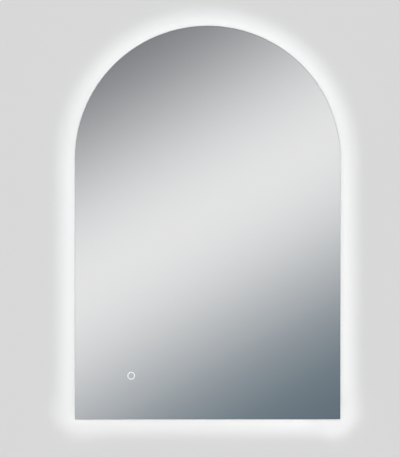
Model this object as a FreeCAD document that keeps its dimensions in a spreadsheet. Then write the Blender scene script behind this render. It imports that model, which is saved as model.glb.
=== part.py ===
"""Arched wall mirror with a lit halo: glass pane, bent channel frame, light tapes, touch switch,
demister, power supply, connection box and the rail that it hangs on.

Lengths are millimetres. X runs to the right as a person faces the mirror, Y runs into the wall and
Z runs up. The wall is the plane Y = 0, and the origin is midway between the wall rail's two screw
slots. Inside this file a place is given as x, z and d: z is the height over the pane's bottom edge,
and d is the distance out from the wall, so Y = -d and Z = z less the height of the screw slots.
"""

import FreeCAD, Part
import math
import os

import Sketcher

V = FreeCAD.Vector
OUT_FOLDER = "parts"

# Driving dimensions: name, value in millimetres, what it measures.
DIMENSIONS = [
    # glass pane and what is laid on its back
    ("pane_width", 600, "width of the pane; its arch is a half circle on this width"),
    ("pane_height", 889, "height of the pane"),
    ("glass_thk", 5, "thickness of the glass"),
    ("arris", 0.6, "polished chamfer round both faces of the glass"),
    ("coat_thk", 0.2, "silver and its paint"),
    ("coat_margin", 1, "bare rim round the silver"),
    ("film_thk", 0.3, "safety film behind the silver"),
    ("film_margin", 3, "bare rim round the film"),
    ("ring_in", 127.3, "touch ring, from the pane's left edge"),
    ("ring_z", 98.5, "touch ring, height over the pane's bottom edge"),
    ("ring_radius", 7.7, "touch ring, radius of the middle of the etched line"),
    ("ring_stroke", 2, "touch ring, width of the etched line"),
    ("film_window", 11, "radius of the hole in the film behind the touch ring"),
    # channel frame
    ("wall_gap", 0.4, "from the wall to the screw heads behind the frame"),
    ("frame_depth", 30, "frame, measured out from the wall"),
    ("frame_inset", 28, "from the pane's edge in to the channel's mouth"),
    ("channel_depth", 16, "from the channel's mouth in to its web"),
    ("frame_wall", 1.5, "thickness of the frame's web and flanges"),
    ("lip_width", 12, "lips that run inwards from the web"),
    ("bead_width", 1, "beads and ribs that hold the diffuser"),
    ("bead_height", 0.8, "height of those beads"),
    ("diffuser_thk", 1.5, "opal strip in the channel's mouth"),
    ("diffuser_play", 0.2, "gap in front of that strip and on its inner side"),
    ("bond_thk", 1, "foam tape between frame and pane"),
    ("bond_margin", 2, "from the flange's edges in to the foam tape"),
    ("bracket_width", 14, "corner bracket, width of a leg"),
    ("bracket_thk", 1.5, "corner bracket, thickness"),
    ("bracket_leg", 42, "corner bracket, from the lips' inner corner to a leg's end"),
    ("bracket_hole_near", 12, "corner bracket, first screw, from the lips' inner corner"),
    ("bracket_hole_far", 32, "corner bracket, second screw, from the lips' inner corner"),
    ("bumper_radius", 8, "rubber bumper"),
    ("bumper_z", 122, "height of the bumpers"),
    # light tape
    ("tape_width", 10, "flexible circuit of the light tape"),
    ("tape_thk", 0.3, "its thickness"),
    ("chip_pitch", 16, "distance from one light chip to the next"),
    ("chip_length", 3.5, "light chip, along the tape"),
    ("chip_width", 2.8, "light chip, across the tape"),
    ("chip_height", 0.8, "light chip, off the tape"),
    # hanging
    ("rail_fall", 209, "from the top of the pane down to the rail's screw slots"),
    ("rail_length", 260, "wall rail, length"),
    ("rail_thk", 2, "wall rail, sheet thickness"),
    ("rail_drop", 15, "wall rail, plate below the screw slots"),
    ("rail_shelf", 13, "wall rail, top of its shelf over the screw slots"),
    ("rail_lip", 14, "wall rail, lip over the shelf"),
    ("rail_play", 1.2, "from the hanger bar to the rail's lip"),
    ("bend_inside", 0.8, "bent sheet, radius on the inside of a bend"),
    ("bend_outside", 1.8, "bent sheet, radius on the outside of a bend"),
    ("slot_spacing", 200, "from one screw slot to the other"),
    ("slot_length", 12, "screw slot, end to end"),
    ("slot_width", 5.5, "screw slot, width"),
    ("hanger_thk", 2, "hanger bar, sheet thickness"),
    ("hanger_height", 40, "hanger bar, height"),
    ("hanger_flange", 12, "hanger bar, stiffening flange along its top"),
    ("hanger_margin", 2, "from the frame's outer edge in to the bar's end"),
    ("hanger_hole_low", 10, "hanger bar, lower screws over its bottom edge"),
    ("hanger_hole_high", 30, "hanger bar, upper screws over its bottom edge"),
    # screws
    ("screw_radius", 2, "M4 screws of frame and equipment, shank"),
    ("screw_head_radius", 4, "their heads"),
    ("screw_head", 1.6, "height of those heads"),
    ("screw_length", 7, "their shank length"),
    ("screw_clearance", 0.2, "radial gap round a shank"),
    ("thread_play", 0.05, "radial gap where a shank's thread bites"),
    ("screw_tail", 0.5, "equipment screws, what stands out of the plate"),
    ("small_screw_radius", 1.25, "small screws of the power supply's cover, shank"),
    ("small_head_radius", 2.4, "their heads"),
    ("small_head", 1.2, "height of those heads"),
    ("small_length", 6, "their hole in the case"),
    ("small_end_gap", 0.5, "from their tips to the end of that hole"),
    ("small_clearance", 0.1, "radial gap round a small screw"),
    # demister
    ("demister_width", 300, "heater film, width"),
    ("demister_height", 380, "heater film, height"),
    ("demister_z", 425, "heater film, height of its middle"),
    ("demister_corner", 12, "heater film, corner radius"),
    ("demister_thk", 0.3, "heater film, thickness"),
    ("track_width", 6, "heater track"),
    ("track_pitch", 19, "from one run of the track to the next"),
    ("track_thk", 0.15, "heater track, thickness"),
    ("track_margin", 14, "from the film's edge in to the track"),
    ("cap_width", 34, "heater's connection cap, width"),
    ("cap_height", 16, "heater's connection cap, height"),
    ("cap_depth", 7, "heater's connection cap, depth"),
    # equipment plate
    ("plate_margin", 5, "equipment plate, past the equipment at both ends"),
    ("plate_height", 62, "equipment plate, height"),
    ("gear_z", 110, "height of the middle of the plate and of what is on it"),
    ("plate_thk", 1.5, "equipment plate, thickness"),
    ("foam_thk", 1, "foam tape under the plate"),
    ("foam_width", 11, "each strip of that tape"),
    # power supply
    ("driver_gap", 36, "from the touch switch to the power supply"),
    ("driver_length", 150, "power supply, length"),
    ("driver_height", 44, "power supply, height"),
    ("driver_depth", 20, "power supply, case without its cover"),
    ("driver_wall", 1.8, "power supply, wall"),
    ("driver_corner", 3, "power supply, corner radius"),
    ("driver_lid", 2, "power supply, cover's thickness"),
    ("ear_length", 12, "power supply, mounting ear"),
    ("ear_height", 20, "power supply, mounting ear"),
    ("ear_thk", 3, "power supply, mounting ear"),
    ("post_radius", 3.2, "power supply, screw posts"),
    ("post_inset", 6.5, "power supply, posts in from the case's sides"),
    ("board_thk", 1.6, "circuit board"),
    ("board_gap", 3, "from the case's floor to the board"),
    ("board_margin", 0.6, "from the case's walls in to the board"),
    ("spacer_shift", 30, "board spacers, from the power supply's middle"),
    ("cover_gap", 1.6, "from the tallest parts on the board to the cover"),
    ("coil_length", 26, "transformer core, length"),
    ("coil_width", 22, "transformer core, width"),
    ("winding_length", 14, "transformer winding, length"),
    ("winding_width", 28, "transformer winding, width"),
    ("can_radius", 5, "large capacitor"),
    ("small_can_radius", 4, "small capacitor"),
    ("can_inset", 23, "large capacitors in from the case's ends"),
    ("can_pitch", 12, "from one capacitor to the next"),
    ("can_offset", 6, "capacitors under the board's middle line"),
    ("sink_length", 14, "heat sink, length"),
    ("sink_thk", 2.5, "heat sink, base"),
    ("sink_offset", 8, "heat sink over the board's middle line"),
    ("sink_x", 24, "heat sink, left of the transformer"),
    ("fin_thk", 1.2, "heat sink, fin"),
    ("fin_reach", 3.5, "heat sink, fin off the base"),
    ("fin_pitch", 4, "from one fin to the next"),
    # connection box
    ("box_gap", 42, "from the power supply to the connection box"),
    ("box_length", 76, "connection box, length"),
    ("box_height", 54, "connection box, height"),
    ("box_depth", 22, "connection box, without its lid"),
    ("box_wall", 2, "connection box, wall"),
    ("box_corner", 3, "connection box, corner radius"),
    ("lid_thk", 2, "connection box, lid"),
    ("lid_gap", 0.3, "lid's hinge edge below the top of the box"),
    ("tongue_overlap", 2, "tongue that joins the lid to its barrel, where it lies on the lid"),
    ("hinge_radius", 2.4, "hinge barrel"),
    ("hinge_rise", 2.7, "hinge axis over the top of the box"),
    ("hinge_length", 40, "hinge barrel, length"),
    ("hinge_gap", 0.3, "from the barrel's end to a lug"),
    ("lug_thk", 4, "hinge lug"),
    ("lug_reach", 3.5, "hinge lug, from the axis out over the top wall"),
    ("pin_radius", 1, "hinge pin"),
    ("pin_clearance", 0.05, "radial gap round the hinge pin"),
    ("boss_radius", 4, "lid screw's boss"),
    ("boss_rise", 6, "lid screw, over the bottom of the box"),
    ("boss_gap", 0.2, "from the lid to that boss"),
    ("lid_screw_radius", 1.5, "lid screw, shank"),
    ("lid_screw_length", 8, "lid screw, shank"),
    ("lid_screw_end_gap", 1, "from the lid screw's tip to the end of its hole"),
    ("lid_screw_head_radius", 3, "lid screw, head"),
    ("lid_screw_head", 1.8, "lid screw, height of its head"),
    ("lid_screw_clearance", 0.7, "radial gap round the lid screw in its boss"),
    ("foot_inset", 9, "connection box, its screws in from its corners"),
    ("block_shift", 6, "terminal block, left of the box's middle"),
    ("block_length", 28, "terminal block, length"),
    ("block_height", 18, "terminal block, height"),
    ("block_depth", 12, "terminal block, depth"),
    ("block_rise", 3, "terminal block's middle over the middle of the box"),
    ("pole_pitch", 9, "from one terminal to the next"),
    ("way_width", 4.5, "wire way through the terminal block"),
    ("way_cover", 4, "from the block's face to its wire ways"),
    ("way_floor", 3, "from the wire ways to the block's foot"),
    ("clamp_radius", 2, "terminal's clamp screw"),
    ("clamp_sunk", 1, "clamp screw under the block's face"),
    ("side_lead_shift", 20, "leads through the box's top and bottom, left of its middle"),
    # cable gland
    ("gland_flats", 19, "hexagons of the gland, across flats"),
    ("gland_thread", 7.9, "gland thread, radius"),
    ("gland_play", 0.08, "radial gap round that thread"),
    ("gland_bore", 5, "bore of the gland body"),
    ("gland_flange", 5, "hexagonal flange of the body"),
    ("gland_collar", 8, "collar outside the flange"),
    ("gland_stem", 9, "thread inside the box, wall included"),
    ("locknut_thk", 4, "lock nut"),
    ("seal_radius", 6.55, "rubber seal, outside"),
    ("seal_play", 0.05, "radial gap round the seal"),
    ("seal_floor", 1, "from the flange to the seat of the seal"),
    ("seal_stand", 1, "seal past the end of the collar"),
    ("cable_bore", 3.6, "rubber seal, bore for the mains cable"),
    ("dome_gap", 0.6, "from the flange to the dome nut"),
    ("dome_length", 15, "dome nut"),
    ("dome_cone", 4.5, "dome nut, its tapered end"),
    ("dome_rim", 1.6, "dome nut, rim round its opening"),
    ("dome_bore", 4.5, "dome nut, opening for the cable"),
    # touch switch
    ("sensor_length", 44, "touch switch case"),
    ("sensor_height", 34, "touch switch case"),
    ("sensor_depth", 11, "touch switch case"),
    ("sensor_wall", 1.5, "touch switch case, wall"),
    ("sensor_corner", 2.5, "touch switch case, corner radius"),
    ("sensor_board_gap", 2, "from that case's floor to its board"),
    ("sensor_post_radius", 1.6, "posts under that board"),
    ("sensor_post_inset", 6, "those posts in from the case's sides"),
    ("sensor_lead_edge", 1.2, "from the lead's hole to that case's rim"),
    ("lamp_size", 1.6, "lamps of the light ring"),
    ("lamp_height", 0.6, "height of those lamps"),
    ("lamp_gap", 0.2, "from those lamps to the light ring"),
    ("light_ring_out", 9.2, "light ring behind the etched line, outer radius"),
    ("light_ring_in", 6.2, "light ring behind the etched line, inner radius"),
    ("electrode_radius", 5, "touch electrode inside the light ring"),
    # leads
    ("lead_radius", 1.8, "low-voltage leads"),
    ("mains_radius", 3, "lead from the connection box to the power supply"),
    ("heater_radius", 2.5, "lead to the demister"),
    ("earth_radius", 1.3, "earth wire"),
    ("core_radius", 0.9, "cores inside the leads"),
    ("lead_inside", 5, "what runs on inside a wall"),
    ("mains_in_rise", 4, "where the mains lead enters the power supply, over its middle"),
    ("mains_out_drop", 8, "where the mains lead leaves the connection box, under its middle"),
    ("core_spacing", 2, "from one core to the next inside a lead"),
    ("lead_climb", 5.5, "hole for the light lead, over the middle of the touch ring"),
    ("lead_past_tape", 4.2, "middle of that hole, nearer the pane than the tape's edge"),
    ("lead_clearance", 0.2, "radial gap round a lead in a wall"),
    ("grip_gap", 0.05, "radial gap round a lead in a bushing or a clip"),
    ("bushing_thk", 3, "bushing where a lead leaves a wall"),
    ("bushing_wall", 1.6, "wall of that bushing"),
    ("clip_width", 8, "lead clip, along the lead"),
    ("clip_wall", 1.4, "lead clip, round the lead"),
    ("clip_foot", 12, "lead clip, its foot across the lead"),
    ("tag_shift", 37.3, "earth tag on the sill's rear lip, left of the hole the earth wire leaves by"),
    ("tag_thk", 0.8, "earth tag, thickness"),
    ("tag_radius", 4.2, "earth tag, radius of its ring"),
    ("tag_barrel", 6, "earth tag, length of its crimped barrel"),
    ("crimp_wall", 0.6, "earth tag, wall of that barrel"),
    ("nut_thk", 3.2, "nut on the earth screw"),
    ("nut_flats", 7, "that nut, across flats"),
]

doc = FreeCAD.newDocument("lighted_mirror")
sheet = doc.addObject("Spreadsheet::Sheet", "dims")
for row, (alias, millimetres, meaning) in enumerate(DIMENSIONS, start=1):
    sheet.set(f"A{row}", meaning)
    sheet.set(f"B{row}", str(millimetres))
    sheet.setAlias(f"B{row}", alias)
doc.recompute()

nodes = []

# Places along d that several pieces share, as expressions on the sheet.
FRAME_BACK = "(dims.wall_gap + dims.screw_head + dims.hanger_thk)"
FRAME_FRONT = f"({FRAME_BACK} + dims.frame_depth)"
FILM_BACK = f"({FRAME_FRONT} + dims.bond_thk)"
COAT_BACK = f"({FILM_BACK} + dims.film_thk)"
GLASS_BACK = f"({COAT_BACK} + dims.coat_thk)"
PLATE_BACK = f"({FILM_BACK} - dims.foam_thk - dims.plate_thk)"
DEMISTER_BACK = f"({FILM_BACK} - dims.demister_thk)"
TRACK_BACK = f"({DEMISTER_BACK} - dims.track_thk)"

# Distances in from the pane's edge, and the height where the arch begins.
WEB_OUT = "(dims.frame_inset + dims.channel_depth)"
WEB_IN = f"({WEB_OUT} + dims.frame_wall)"
LIP_EDGE = f"({WEB_IN} + dims.lip_width)"
LIP_MIDDLE = f"({WEB_IN} + dims.lip_width / 2)"
SPRING = "(dims.pane_height - dims.pane_width / 2)"
HALF = "(dims.pane_width / 2)"
RAIL_RISE = "(dims.pane_height - dims.rail_fall)"
RING_X = f"(dims.ring_in - {HALF})"

# The equipment stands in a row: touch switch, power supply, connection box.
SENSOR_RIGHT = f"({RING_X} + dims.sensor_length / 2)"
DRIVER_LEFT = f"({SENSOR_RIGHT} + dims.driver_gap)"
DRIVER_RIGHT = f"({DRIVER_LEFT} + dims.driver_length)"
DRIVER_X = f"({DRIVER_LEFT} + dims.driver_length / 2)"
BOX_LEFT = f"({DRIVER_RIGHT} + dims.box_gap)"
BOX_RIGHT = f"({BOX_LEFT} + dims.box_length)"
BOX_X = f"({BOX_LEFT} + dims.box_length / 2)"
BLOCK_X = f"({BOX_X} - dims.block_shift)"
SIDE_LEAD_X = f"({BOX_X} - dims.side_lead_shift)"
TAG_X = f"({SIDE_LEAD_X} - dims.tag_shift)"

# A screw head's shape, as shares of its radius and height.
HEAD_TAPER = 0.8
RECESS_DEPTH = 0.6
RECESS_LENGTH = 1.1
RECESS_WIDTH = 0.22
# A clamp screw's slot, as shares of its radius.
SLOT_DEPTH = 0.4
SLOT_WIDTH = 0.3
# The straight length that an arc of a lead takes from the shorter of its two runs.
BEND_SHARE = 0.45

def number(expression):
    """The value of an expression on the sheet, in millimetres."""
    return float(sheet.evalExpression(expression))


def place(x, z, d):
    """The point at x, z and d in the frame of the part."""
    return V(x, -d, z - number(RAIL_RISE))


def keep(thing, label):
    """Names a finished piece and puts it on the list of pieces to write."""
    thing.Label = label
    nodes.append(thing)
    return thing


# ---------------------------------------------------------------- sketches


def new_body(name):
    return doc.addObject("PartDesign::Body", name + "_body")


def wall_sketch(body, name, depth, x="0", z="0"):
    """A sketch parallel to the wall at that depth, with its own origin at x and z."""
    sketch = body.newObject("Sketcher::SketchObject", name)
    plane = next(f for f in body.Origin.OriginFeatures if f.Role == "XZ_Plane")
    sketch.AttachmentSupport = (plane, [""])
    sketch.MapMode = "FlatFace"
    sketch.setExpression("AttachmentOffset.Base.x", x)
    sketch.setExpression("AttachmentOffset.Base.y", f"{z} - {RAIL_RISE}")
    sketch.setExpression("AttachmentOffset.Base.z", depth)
    return sketch


def constrain(sketch, fixed, driven):
    """Adds constraints. Each driven one is (kind, places..., expression) and follows the sheet."""
    for parts in fixed:
        sketch.addConstraint(Sketcher.Constraint(*parts))
    for parts in driven:
        *head, expression = parts
        index = sketch.addConstraint(Sketcher.Constraint(*head, number(expression)))
        sketch.setExpression(f"Constraints[{index}]", expression)


def rectangle(sketch, width, height):
    """A rectangle centred on the sketch's origin."""
    first = sketch.GeometryCount
    w, h = number(width) / 2, number(height) / 2
    corners = [V(-w, -h), V(w, -h), V(w, h), V(-w, h)]
    for i in range(4):
        sketch.addGeometry(Part.LineSegment(corners[i], corners[(i + 1) % 4]), False)
    a, b, c, e = range(first, first + 4)
    constrain(
        sketch,
        [("Coincident", a, 2, b, 1), ("Coincident", b, 2, c, 1), ("Coincident", c, 2, e, 1),
         ("Coincident", e, 2, a, 1), ("Horizontal", a), ("Vertical", b), ("Horizontal", c),
         ("Vertical", e), ("Symmetric", a, 1, b, 2, -1, 1)],
        [("DistanceX", a, 1, a, 2, width), ("DistanceY", b, 1, b, 2, height)],
    )


def circle(sketch, radius):
    """A circle round the sketch's origin."""
    index = sketch.addGeometry(Part.Circle(V(0, 0), V(0, 0, 1), number(radius)), False)
    constrain(sketch, [("Coincident", index, 3, -1, 1)], [("Radius", index, radius)])


def pane_loop(sketch, inset):
    """The pane's outline, moved in by inset."""
    i, half, spring = number(inset), number(HALF), number(SPRING)
    first = sketch.GeometryCount
    r = half - i
    for piece in (
        Part.LineSegment(V(-r, i), V(r, i)),
        Part.LineSegment(V(r, i), V(r, spring)),
        Part.ArcOfCircle(Part.Circle(V(0, spring), V(0, 0, 1), r), 0, math.pi),
        Part.LineSegment(V(-r, spring), V(-r, i)),
    ):
        sketch.addGeometry(piece, False)
    sill, right, arch, left = range(first, first + 4)
    constrain(
        sketch,
        [("Coincident", sill, 2, right, 1), ("Tangent", right, 2, arch, 1),
         ("Tangent", arch, 2, left, 1), ("Coincident", left, 2, sill, 1),
         ("Horizontal", sill), ("Vertical", right), ("Vertical", left),
         ("PointOnObject", arch, 3, -2)],
        [("DistanceX", sill, 1, sill, 2, f"2 * ({HALF} - {inset})"),
         ("DistanceY", -1, 1, arch, 3, SPRING), ("DistanceY", -1, 1, sill, 1, inset)],
    )


def arch_loop(sketch, outer, inner):
    """A band that runs up one side, over the arch and down the other, mitred at the sill."""
    a, b, half, spring = number(outer), number(inner), number(HALF), number(SPRING)
    first = sketch.GeometryCount
    r, q = half - a, half - b
    centre = V(0, spring)
    for piece in (
        Part.LineSegment(V(r, a), V(r, spring)),
        Part.ArcOfCircle(Part.Circle(centre, V(0, 0, 1), r), 0, math.pi),
        Part.LineSegment(V(-r, spring), V(-r, a)),
        Part.LineSegment(V(-r, a), V(-q, b)),
        Part.LineSegment(V(-q, b), V(-q, spring)),
        Part.ArcOfCircle(Part.Circle(centre, V(0, 0, 1), q), 0, math.pi),
        Part.LineSegment(V(q, spring), V(q, b)),
        Part.LineSegment(V(q, b), V(r, a)),
    ):
        sketch.addGeometry(piece, False)
    g = list(range(first, first + 8))
    constrain(
        sketch,
        [("Tangent", g[0], 2, g[1], 1), ("Tangent", g[1], 2, g[2], 1),
         ("Coincident", g[2], 2, g[3], 1), ("Coincident", g[3], 2, g[4], 1),
         ("Tangent", g[4], 2, g[5], 2), ("Tangent", g[5], 1, g[6], 1),
         ("Coincident", g[6], 2, g[7], 1), ("Coincident", g[7], 2, g[0], 1),
         ("Vertical", g[0]), ("Vertical", g[2]), ("Vertical", g[4]), ("Vertical", g[6]),
         ("PointOnObject", g[1], 3, -2), ("Coincident", g[1], 3, g[5], 3),
         ("Horizontal", g[0], 1, g[2], 2), ("Horizontal", g[4], 1, g[6], 2)],
        [("Radius", g[1], f"{HALF} - {outer}"), ("Radius", g[5], f"{HALF} - {inner}"),
         ("DistanceY", -1, 1, g[1], 3, SPRING), ("DistanceY", -1, 1, g[0], 1, outer),
         ("DistanceY", -1, 1, g[6], 2, inner)],
    )


def sill_loop(sketch, outer, inner):
    """The straight band along the bottom, mitred at both ends."""
    a, b, half = number(outer), number(inner), number(HALF)
    first = sketch.GeometryCount
    corners = [V(a - half, a), V(half - a, a), V(half - b, b), V(b - half, b)]
    for i in range(4):
        sketch.addGeometry(Part.LineSegment(corners[i], corners[(i + 1) % 4]), False)
    low, right, top, left = range(first, first + 4)
    constrain(
        sketch,
        [("Coincident", low, 2, right, 1), ("Coincident", right, 2, top, 1),
         ("Coincident", top, 2, left, 1), ("Coincident", left, 2, low, 1),
         ("Symmetric", low, 1, low, 2, -2), ("Symmetric", top, 1, top, 2, -2)],
        [("DistanceX", low, 1, low, 2, f"2 * ({HALF} - {outer})"),
         ("DistanceX", top, 2, top, 1, f"2 * ({HALF} - {inner})"),
         ("DistanceY", -1, 1, low, 1, outer), ("DistanceY", -1, 1, top, 1, inner)],
    )


def pad(body, sketch, length, name="Pad"):
    """Grows the sketch away from the wall."""
    feature = body.newObject("PartDesign::Pad", name)
    feature.Profile = sketch
    feature.setExpression("Length", length)
    doc.recompute()
    return feature


def pocket(body, sketch, length, outward=False):
    """Cuts the sketch towards the wall, or away from it if outward."""
    before = body.Shape.Volume
    feature = body.newObject("PartDesign::Pocket", "Pocket")
    feature.Profile = sketch
    feature.setExpression("Length", length)
    feature.Reversed = outward
    doc.recompute()
    if not body.Shape.Volume < before:
        raise RuntimeError(f"{body.Name}: a pocket cuts nothing")
    return feature


def round_corners(body, feature, radius):
    """Rounds the edges that run straight out from the wall."""
    along = [
        f"Edge{i}"
        for i, edge in enumerate(feature.Shape.Edges, start=1)
        if len(edge.Vertexes) == 2
        and abs(edge.Vertexes[0].X - edge.Vertexes[1].X) < 1e-6
        and abs(edge.Vertexes[0].Z - edge.Vertexes[1].Z) < 1e-6
    ]
    fillet = body.newObject("PartDesign::Fillet", "Fillet")
    fillet.Base = (feature, along)
    fillet.setExpression("Radius", radius)
    doc.recompute()
    return fillet


# ---------------------------------------------------------------- plain solids


def bind(thing, **expressions):
    """Binds properties of a piece to the sheet; X, Y and Z stand for its place."""
    for name, expression in expressions.items():
        path = f"Placement.Base.{name.lower()}" if name in "XYZ" else name
        thing.setExpression(path, expression)


def block(name, x, z, near, far, width, height):
    """A box centred on x and z that reaches from depth near to depth far."""
    box = doc.addObject("Part::Box", name)
    bind(box, Length=width, Height=height, Width=f"{far} - ({near})",
         X=f"{x} - ({width}) / 2", Y=f"-({far})", Z=f"{z} - ({height}) / 2 - {RAIL_RISE}")
    return box


def rod(name, x, z, near, far, radius):
    """A cylinder that points out from the wall."""
    cylinder = doc.addObject("Part::Cylinder", name)
    cylinder.Placement.Rotation = FreeCAD.Rotation(V(1, 0, 0), 90)
    bind(cylinder, Radius=radius, Height=f"{far} - ({near})", X=x, Y=f"-({near})",
         Z=f"{z} - {RAIL_RISE}")
    return cylinder


def bar(name, start, z, d, length, radius):
    """A cylinder along X from start."""
    cylinder = doc.addObject("Part::Cylinder", name)
    cylinder.Placement.Rotation = FreeCAD.Rotation(V(0, 1, 0), 90)
    bind(cylinder, Radius=radius, Height=length, X=start, Y=f"-({d})", Z=f"{z} - {RAIL_RISE}")
    return cylinder


def hexagon(name, start, z, d, length, flats):
    """A hexagonal prism along X from start, with two flats facing the wall and the room."""
    prism = doc.addObject("Part::Prism", name)
    prism.Polygon = 6
    prism.Placement.Rotation = FreeCAD.Rotation(V(0, 1, 0), 90)
    bind(prism, Circumradius=f"({flats}) / sqrt(3)", Height=length, X=start, Y=f"-({d})",
         Z=f"{z} - {RAIL_RISE}")
    return prism


def join(name, pieces):
    """Fuses pieces into one solid."""
    fused = doc.addObject("Part::MultiFuse", name)
    fused.Shapes = pieces
    return fused


def cut(name, base, tools):
    """Takes the tools out of the base."""
    result = doc.addObject("Part::Cut", name)
    result.Base = base
    result.Tool = tools[0] if len(tools) == 1 else join(name + "_tools", tools)
    return result


def group(name, pieces):
    """Puts separate solids of one kind in one node."""
    gathered = doc.addObject("Part::Compound", name)
    gathered.Links = pieces
    return gathered


def free_shape(name, shape):
    """A piece whose shape is worked out here from the sheet's values."""
    feature = doc.addObject("Part::Feature", name)
    feature.Shape = shape
    return feature


def screw(name, x, z, seat, radius, head_radius, head, length):
    """A pan-head screw with a cross recess. Its head lies on the wall's side of depth seat."""
    shank = rod(name + "_shank", x, z, seat, f"{seat} + {length}", radius)
    cap = doc.addObject("Part::Cone", name + "_cap")
    cap.Placement.Rotation = FreeCAD.Rotation(V(1, 0, 0), -90)
    bind(cap, Radius1=head_radius, Radius2=f"{head_radius} * {HEAD_TAPER}", Height=head, X=x,
         Y=f"-({seat})", Z=f"{z} - {RAIL_RISE}")
    back = f"{seat} - {head}"
    floor = f"{back} + {head} * {RECESS_DEPTH}"
    long, narrow = f"{head_radius} * {RECESS_LENGTH}", f"{head_radius} * {RECESS_WIDTH}"
    across = block(name + "_across", x, z, back, floor, long, narrow)
    upright = block(name + "_upright", x, z, back, floor, narrow, long)
    return cut(name, join(name + "_solid", [shank, cap]), [across, upright])


def frame_screw(name, x, z, seat, length="dims.screw_length"):
    return screw(name, x, z, seat, "dims.screw_radius", "dims.screw_head_radius",
                 "dims.screw_head", length)


def screw_hole(name, x, z, near, far):
    """A hole that a screw passes freely."""
    return rod(name, x, z, near, far, "dims.screw_radius + dims.screw_clearance")


def thread_hole(name, x, z, near, far):
    """A hole that a screw's thread bites in."""
    return rod(name, x, z, near, far, "dims.screw_radius + dims.thread_play")


# ---------------------------------------------------------------- pane


def build_glass():
    body = new_body("mirror_glass")
    sketch = wall_sketch(body, "glass_outline", GLASS_BACK)
    pane_loop(sketch, "0")
    slab = pad(body, sketch, "dims.glass_thk")
    rim = [
        f"Edge{i}"
        for i, edge in enumerate(slab.Shape.Edges, start=1)
        if abs(edge.BoundBox.YLength) < 1e-6
    ]
    chamfer = body.newObject("PartDesign::Chamfer", "Arris")
    chamfer.Base = (slab, rim)
    chamfer.setExpression("Size", "dims.arris")
    keep(body, "mirror_glass")


def build_silver():
    """The silver, with the touch ring etched out of it; the disc inside the ring stays."""
    body = new_body("silver")
    sketch = wall_sketch(body, "silver_outline", COAT_BACK)
    pane_loop(sketch, "dims.coat_margin")
    pad(body, sketch, "dims.coat_thk")
    ring = wall_sketch(body, "etched_ring", GLASS_BACK, RING_X, "dims.ring_z")
    circle(ring, "dims.ring_radius + dims.ring_stroke / 2")
    pocket(body, ring, "dims.coat_thk")
    disc = rod("silver_disc", RING_X, "dims.ring_z", COAT_BACK, GLASS_BACK,
               "dims.ring_radius - dims.ring_stroke / 2")
    keep(group("silver_coat", [body, disc]), "silver_coat")


def build_film():
    body = new_body("safety_film")
    sketch = wall_sketch(body, "film_outline", FILM_BACK)
    pane_loop(sketch, "dims.film_margin")
    pad(body, sketch, "dims.film_thk")
    window = wall_sketch(body, "ring_window", COAT_BACK, RING_X, "dims.ring_z")
    circle(window, "dims.film_window")
    pocket(body, window, "dims.film_thk")
    keep(body, "safety_film")


# ---------------------------------------------------------------- frame


def frame_bands():
    """The frame's section as bands: outer and inner distance from the pane's edge, depth, height."""
    mouth, bead = "dims.frame_inset", "dims.bead_width"
    groove = "(dims.diffuser_thk + dims.diffuser_play)"
    rib = f"({mouth} + {bead} + {groove})"
    low = f"({FRAME_BACK} + dims.frame_wall)"
    high = f"({FRAME_FRONT} - dims.frame_wall - dims.bead_height)"
    return [
        (mouth, LIP_EDGE, FRAME_BACK, "dims.frame_wall"),
        (WEB_OUT, WEB_IN, FRAME_BACK, "dims.frame_depth"),
        (mouth, LIP_EDGE, f"({FRAME_FRONT} - dims.frame_wall)", "dims.frame_wall"),
        (mouth, f"({mouth} + {bead})", low, "dims.bead_height"),
        (rib, f"({rib} + {bead})", low, "dims.bead_height"),
        (mouth, f"({mouth} + {bead})", high, "dims.bead_height"),
        (rib, f"({rib} + {bead})", high, "dims.bead_height"),
    ]


def profile(name, loop, bands):
    """A body made of bands that follow the pane's outline."""
    body = new_body(name)
    for i, (outer, inner, depth, height) in enumerate(bands):
        sketch = wall_sketch(body, f"{name}_band{i}", depth)
        loop(sketch, outer, inner)
        pad(body, sketch, height)
    return body


def bracket_screw_places():
    """x and z of the corner brackets' screws, on both sides."""
    corner = f"({HALF} - {LIP_EDGE})"
    places = []
    for side in ("", "-"):
        for reach in ("dims.bracket_hole_near", "dims.bracket_hole_far"):
            places.append((f"{side}({HALF} - {LIP_MIDDLE})", f"({LIP_EDGE} + {reach})"))
            places.append((f"{side}({corner} - {reach})", LIP_MIDDLE))
    return places


SHELF_TOP = f"({RAIL_RISE} + dims.rail_shelf)"
HANGER_TOP = f"({SHELF_TOP} + dims.hanger_height)"


def half_width_at(z, inset):
    """Half the width, at height z, of the pane's outline moved in by inset."""
    over = f"max(0; {z} - {SPRING})"
    return f"sqrt(({HALF} - {inset}) ^ 2 - ({over}) ^ 2)"


def hanger_screw_places():
    """x and z of the hanger bar's screws, on both sides. The bar stands on the rail's shelf."""
    places = []
    for side in ("", "-"):
        for rise in ("dims.hanger_hole_low", "dims.hanger_hole_high"):
            z = f"({SHELF_TOP} + {rise})"
            places.append((f"{side}{half_width_at(z, LIP_MIDDLE)}", z))
    return places


LEAD_Z = "(dims.ring_z + dims.lead_climb)"
LEAD_WEB_D = f"({FRAME_BACK} + dims.frame_depth / 2 + dims.tape_width / 2 + dims.lead_past_tape)"


def bushing_radius(lead):
    return f"({lead} + dims.lead_clearance + dims.bushing_wall)"


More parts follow.
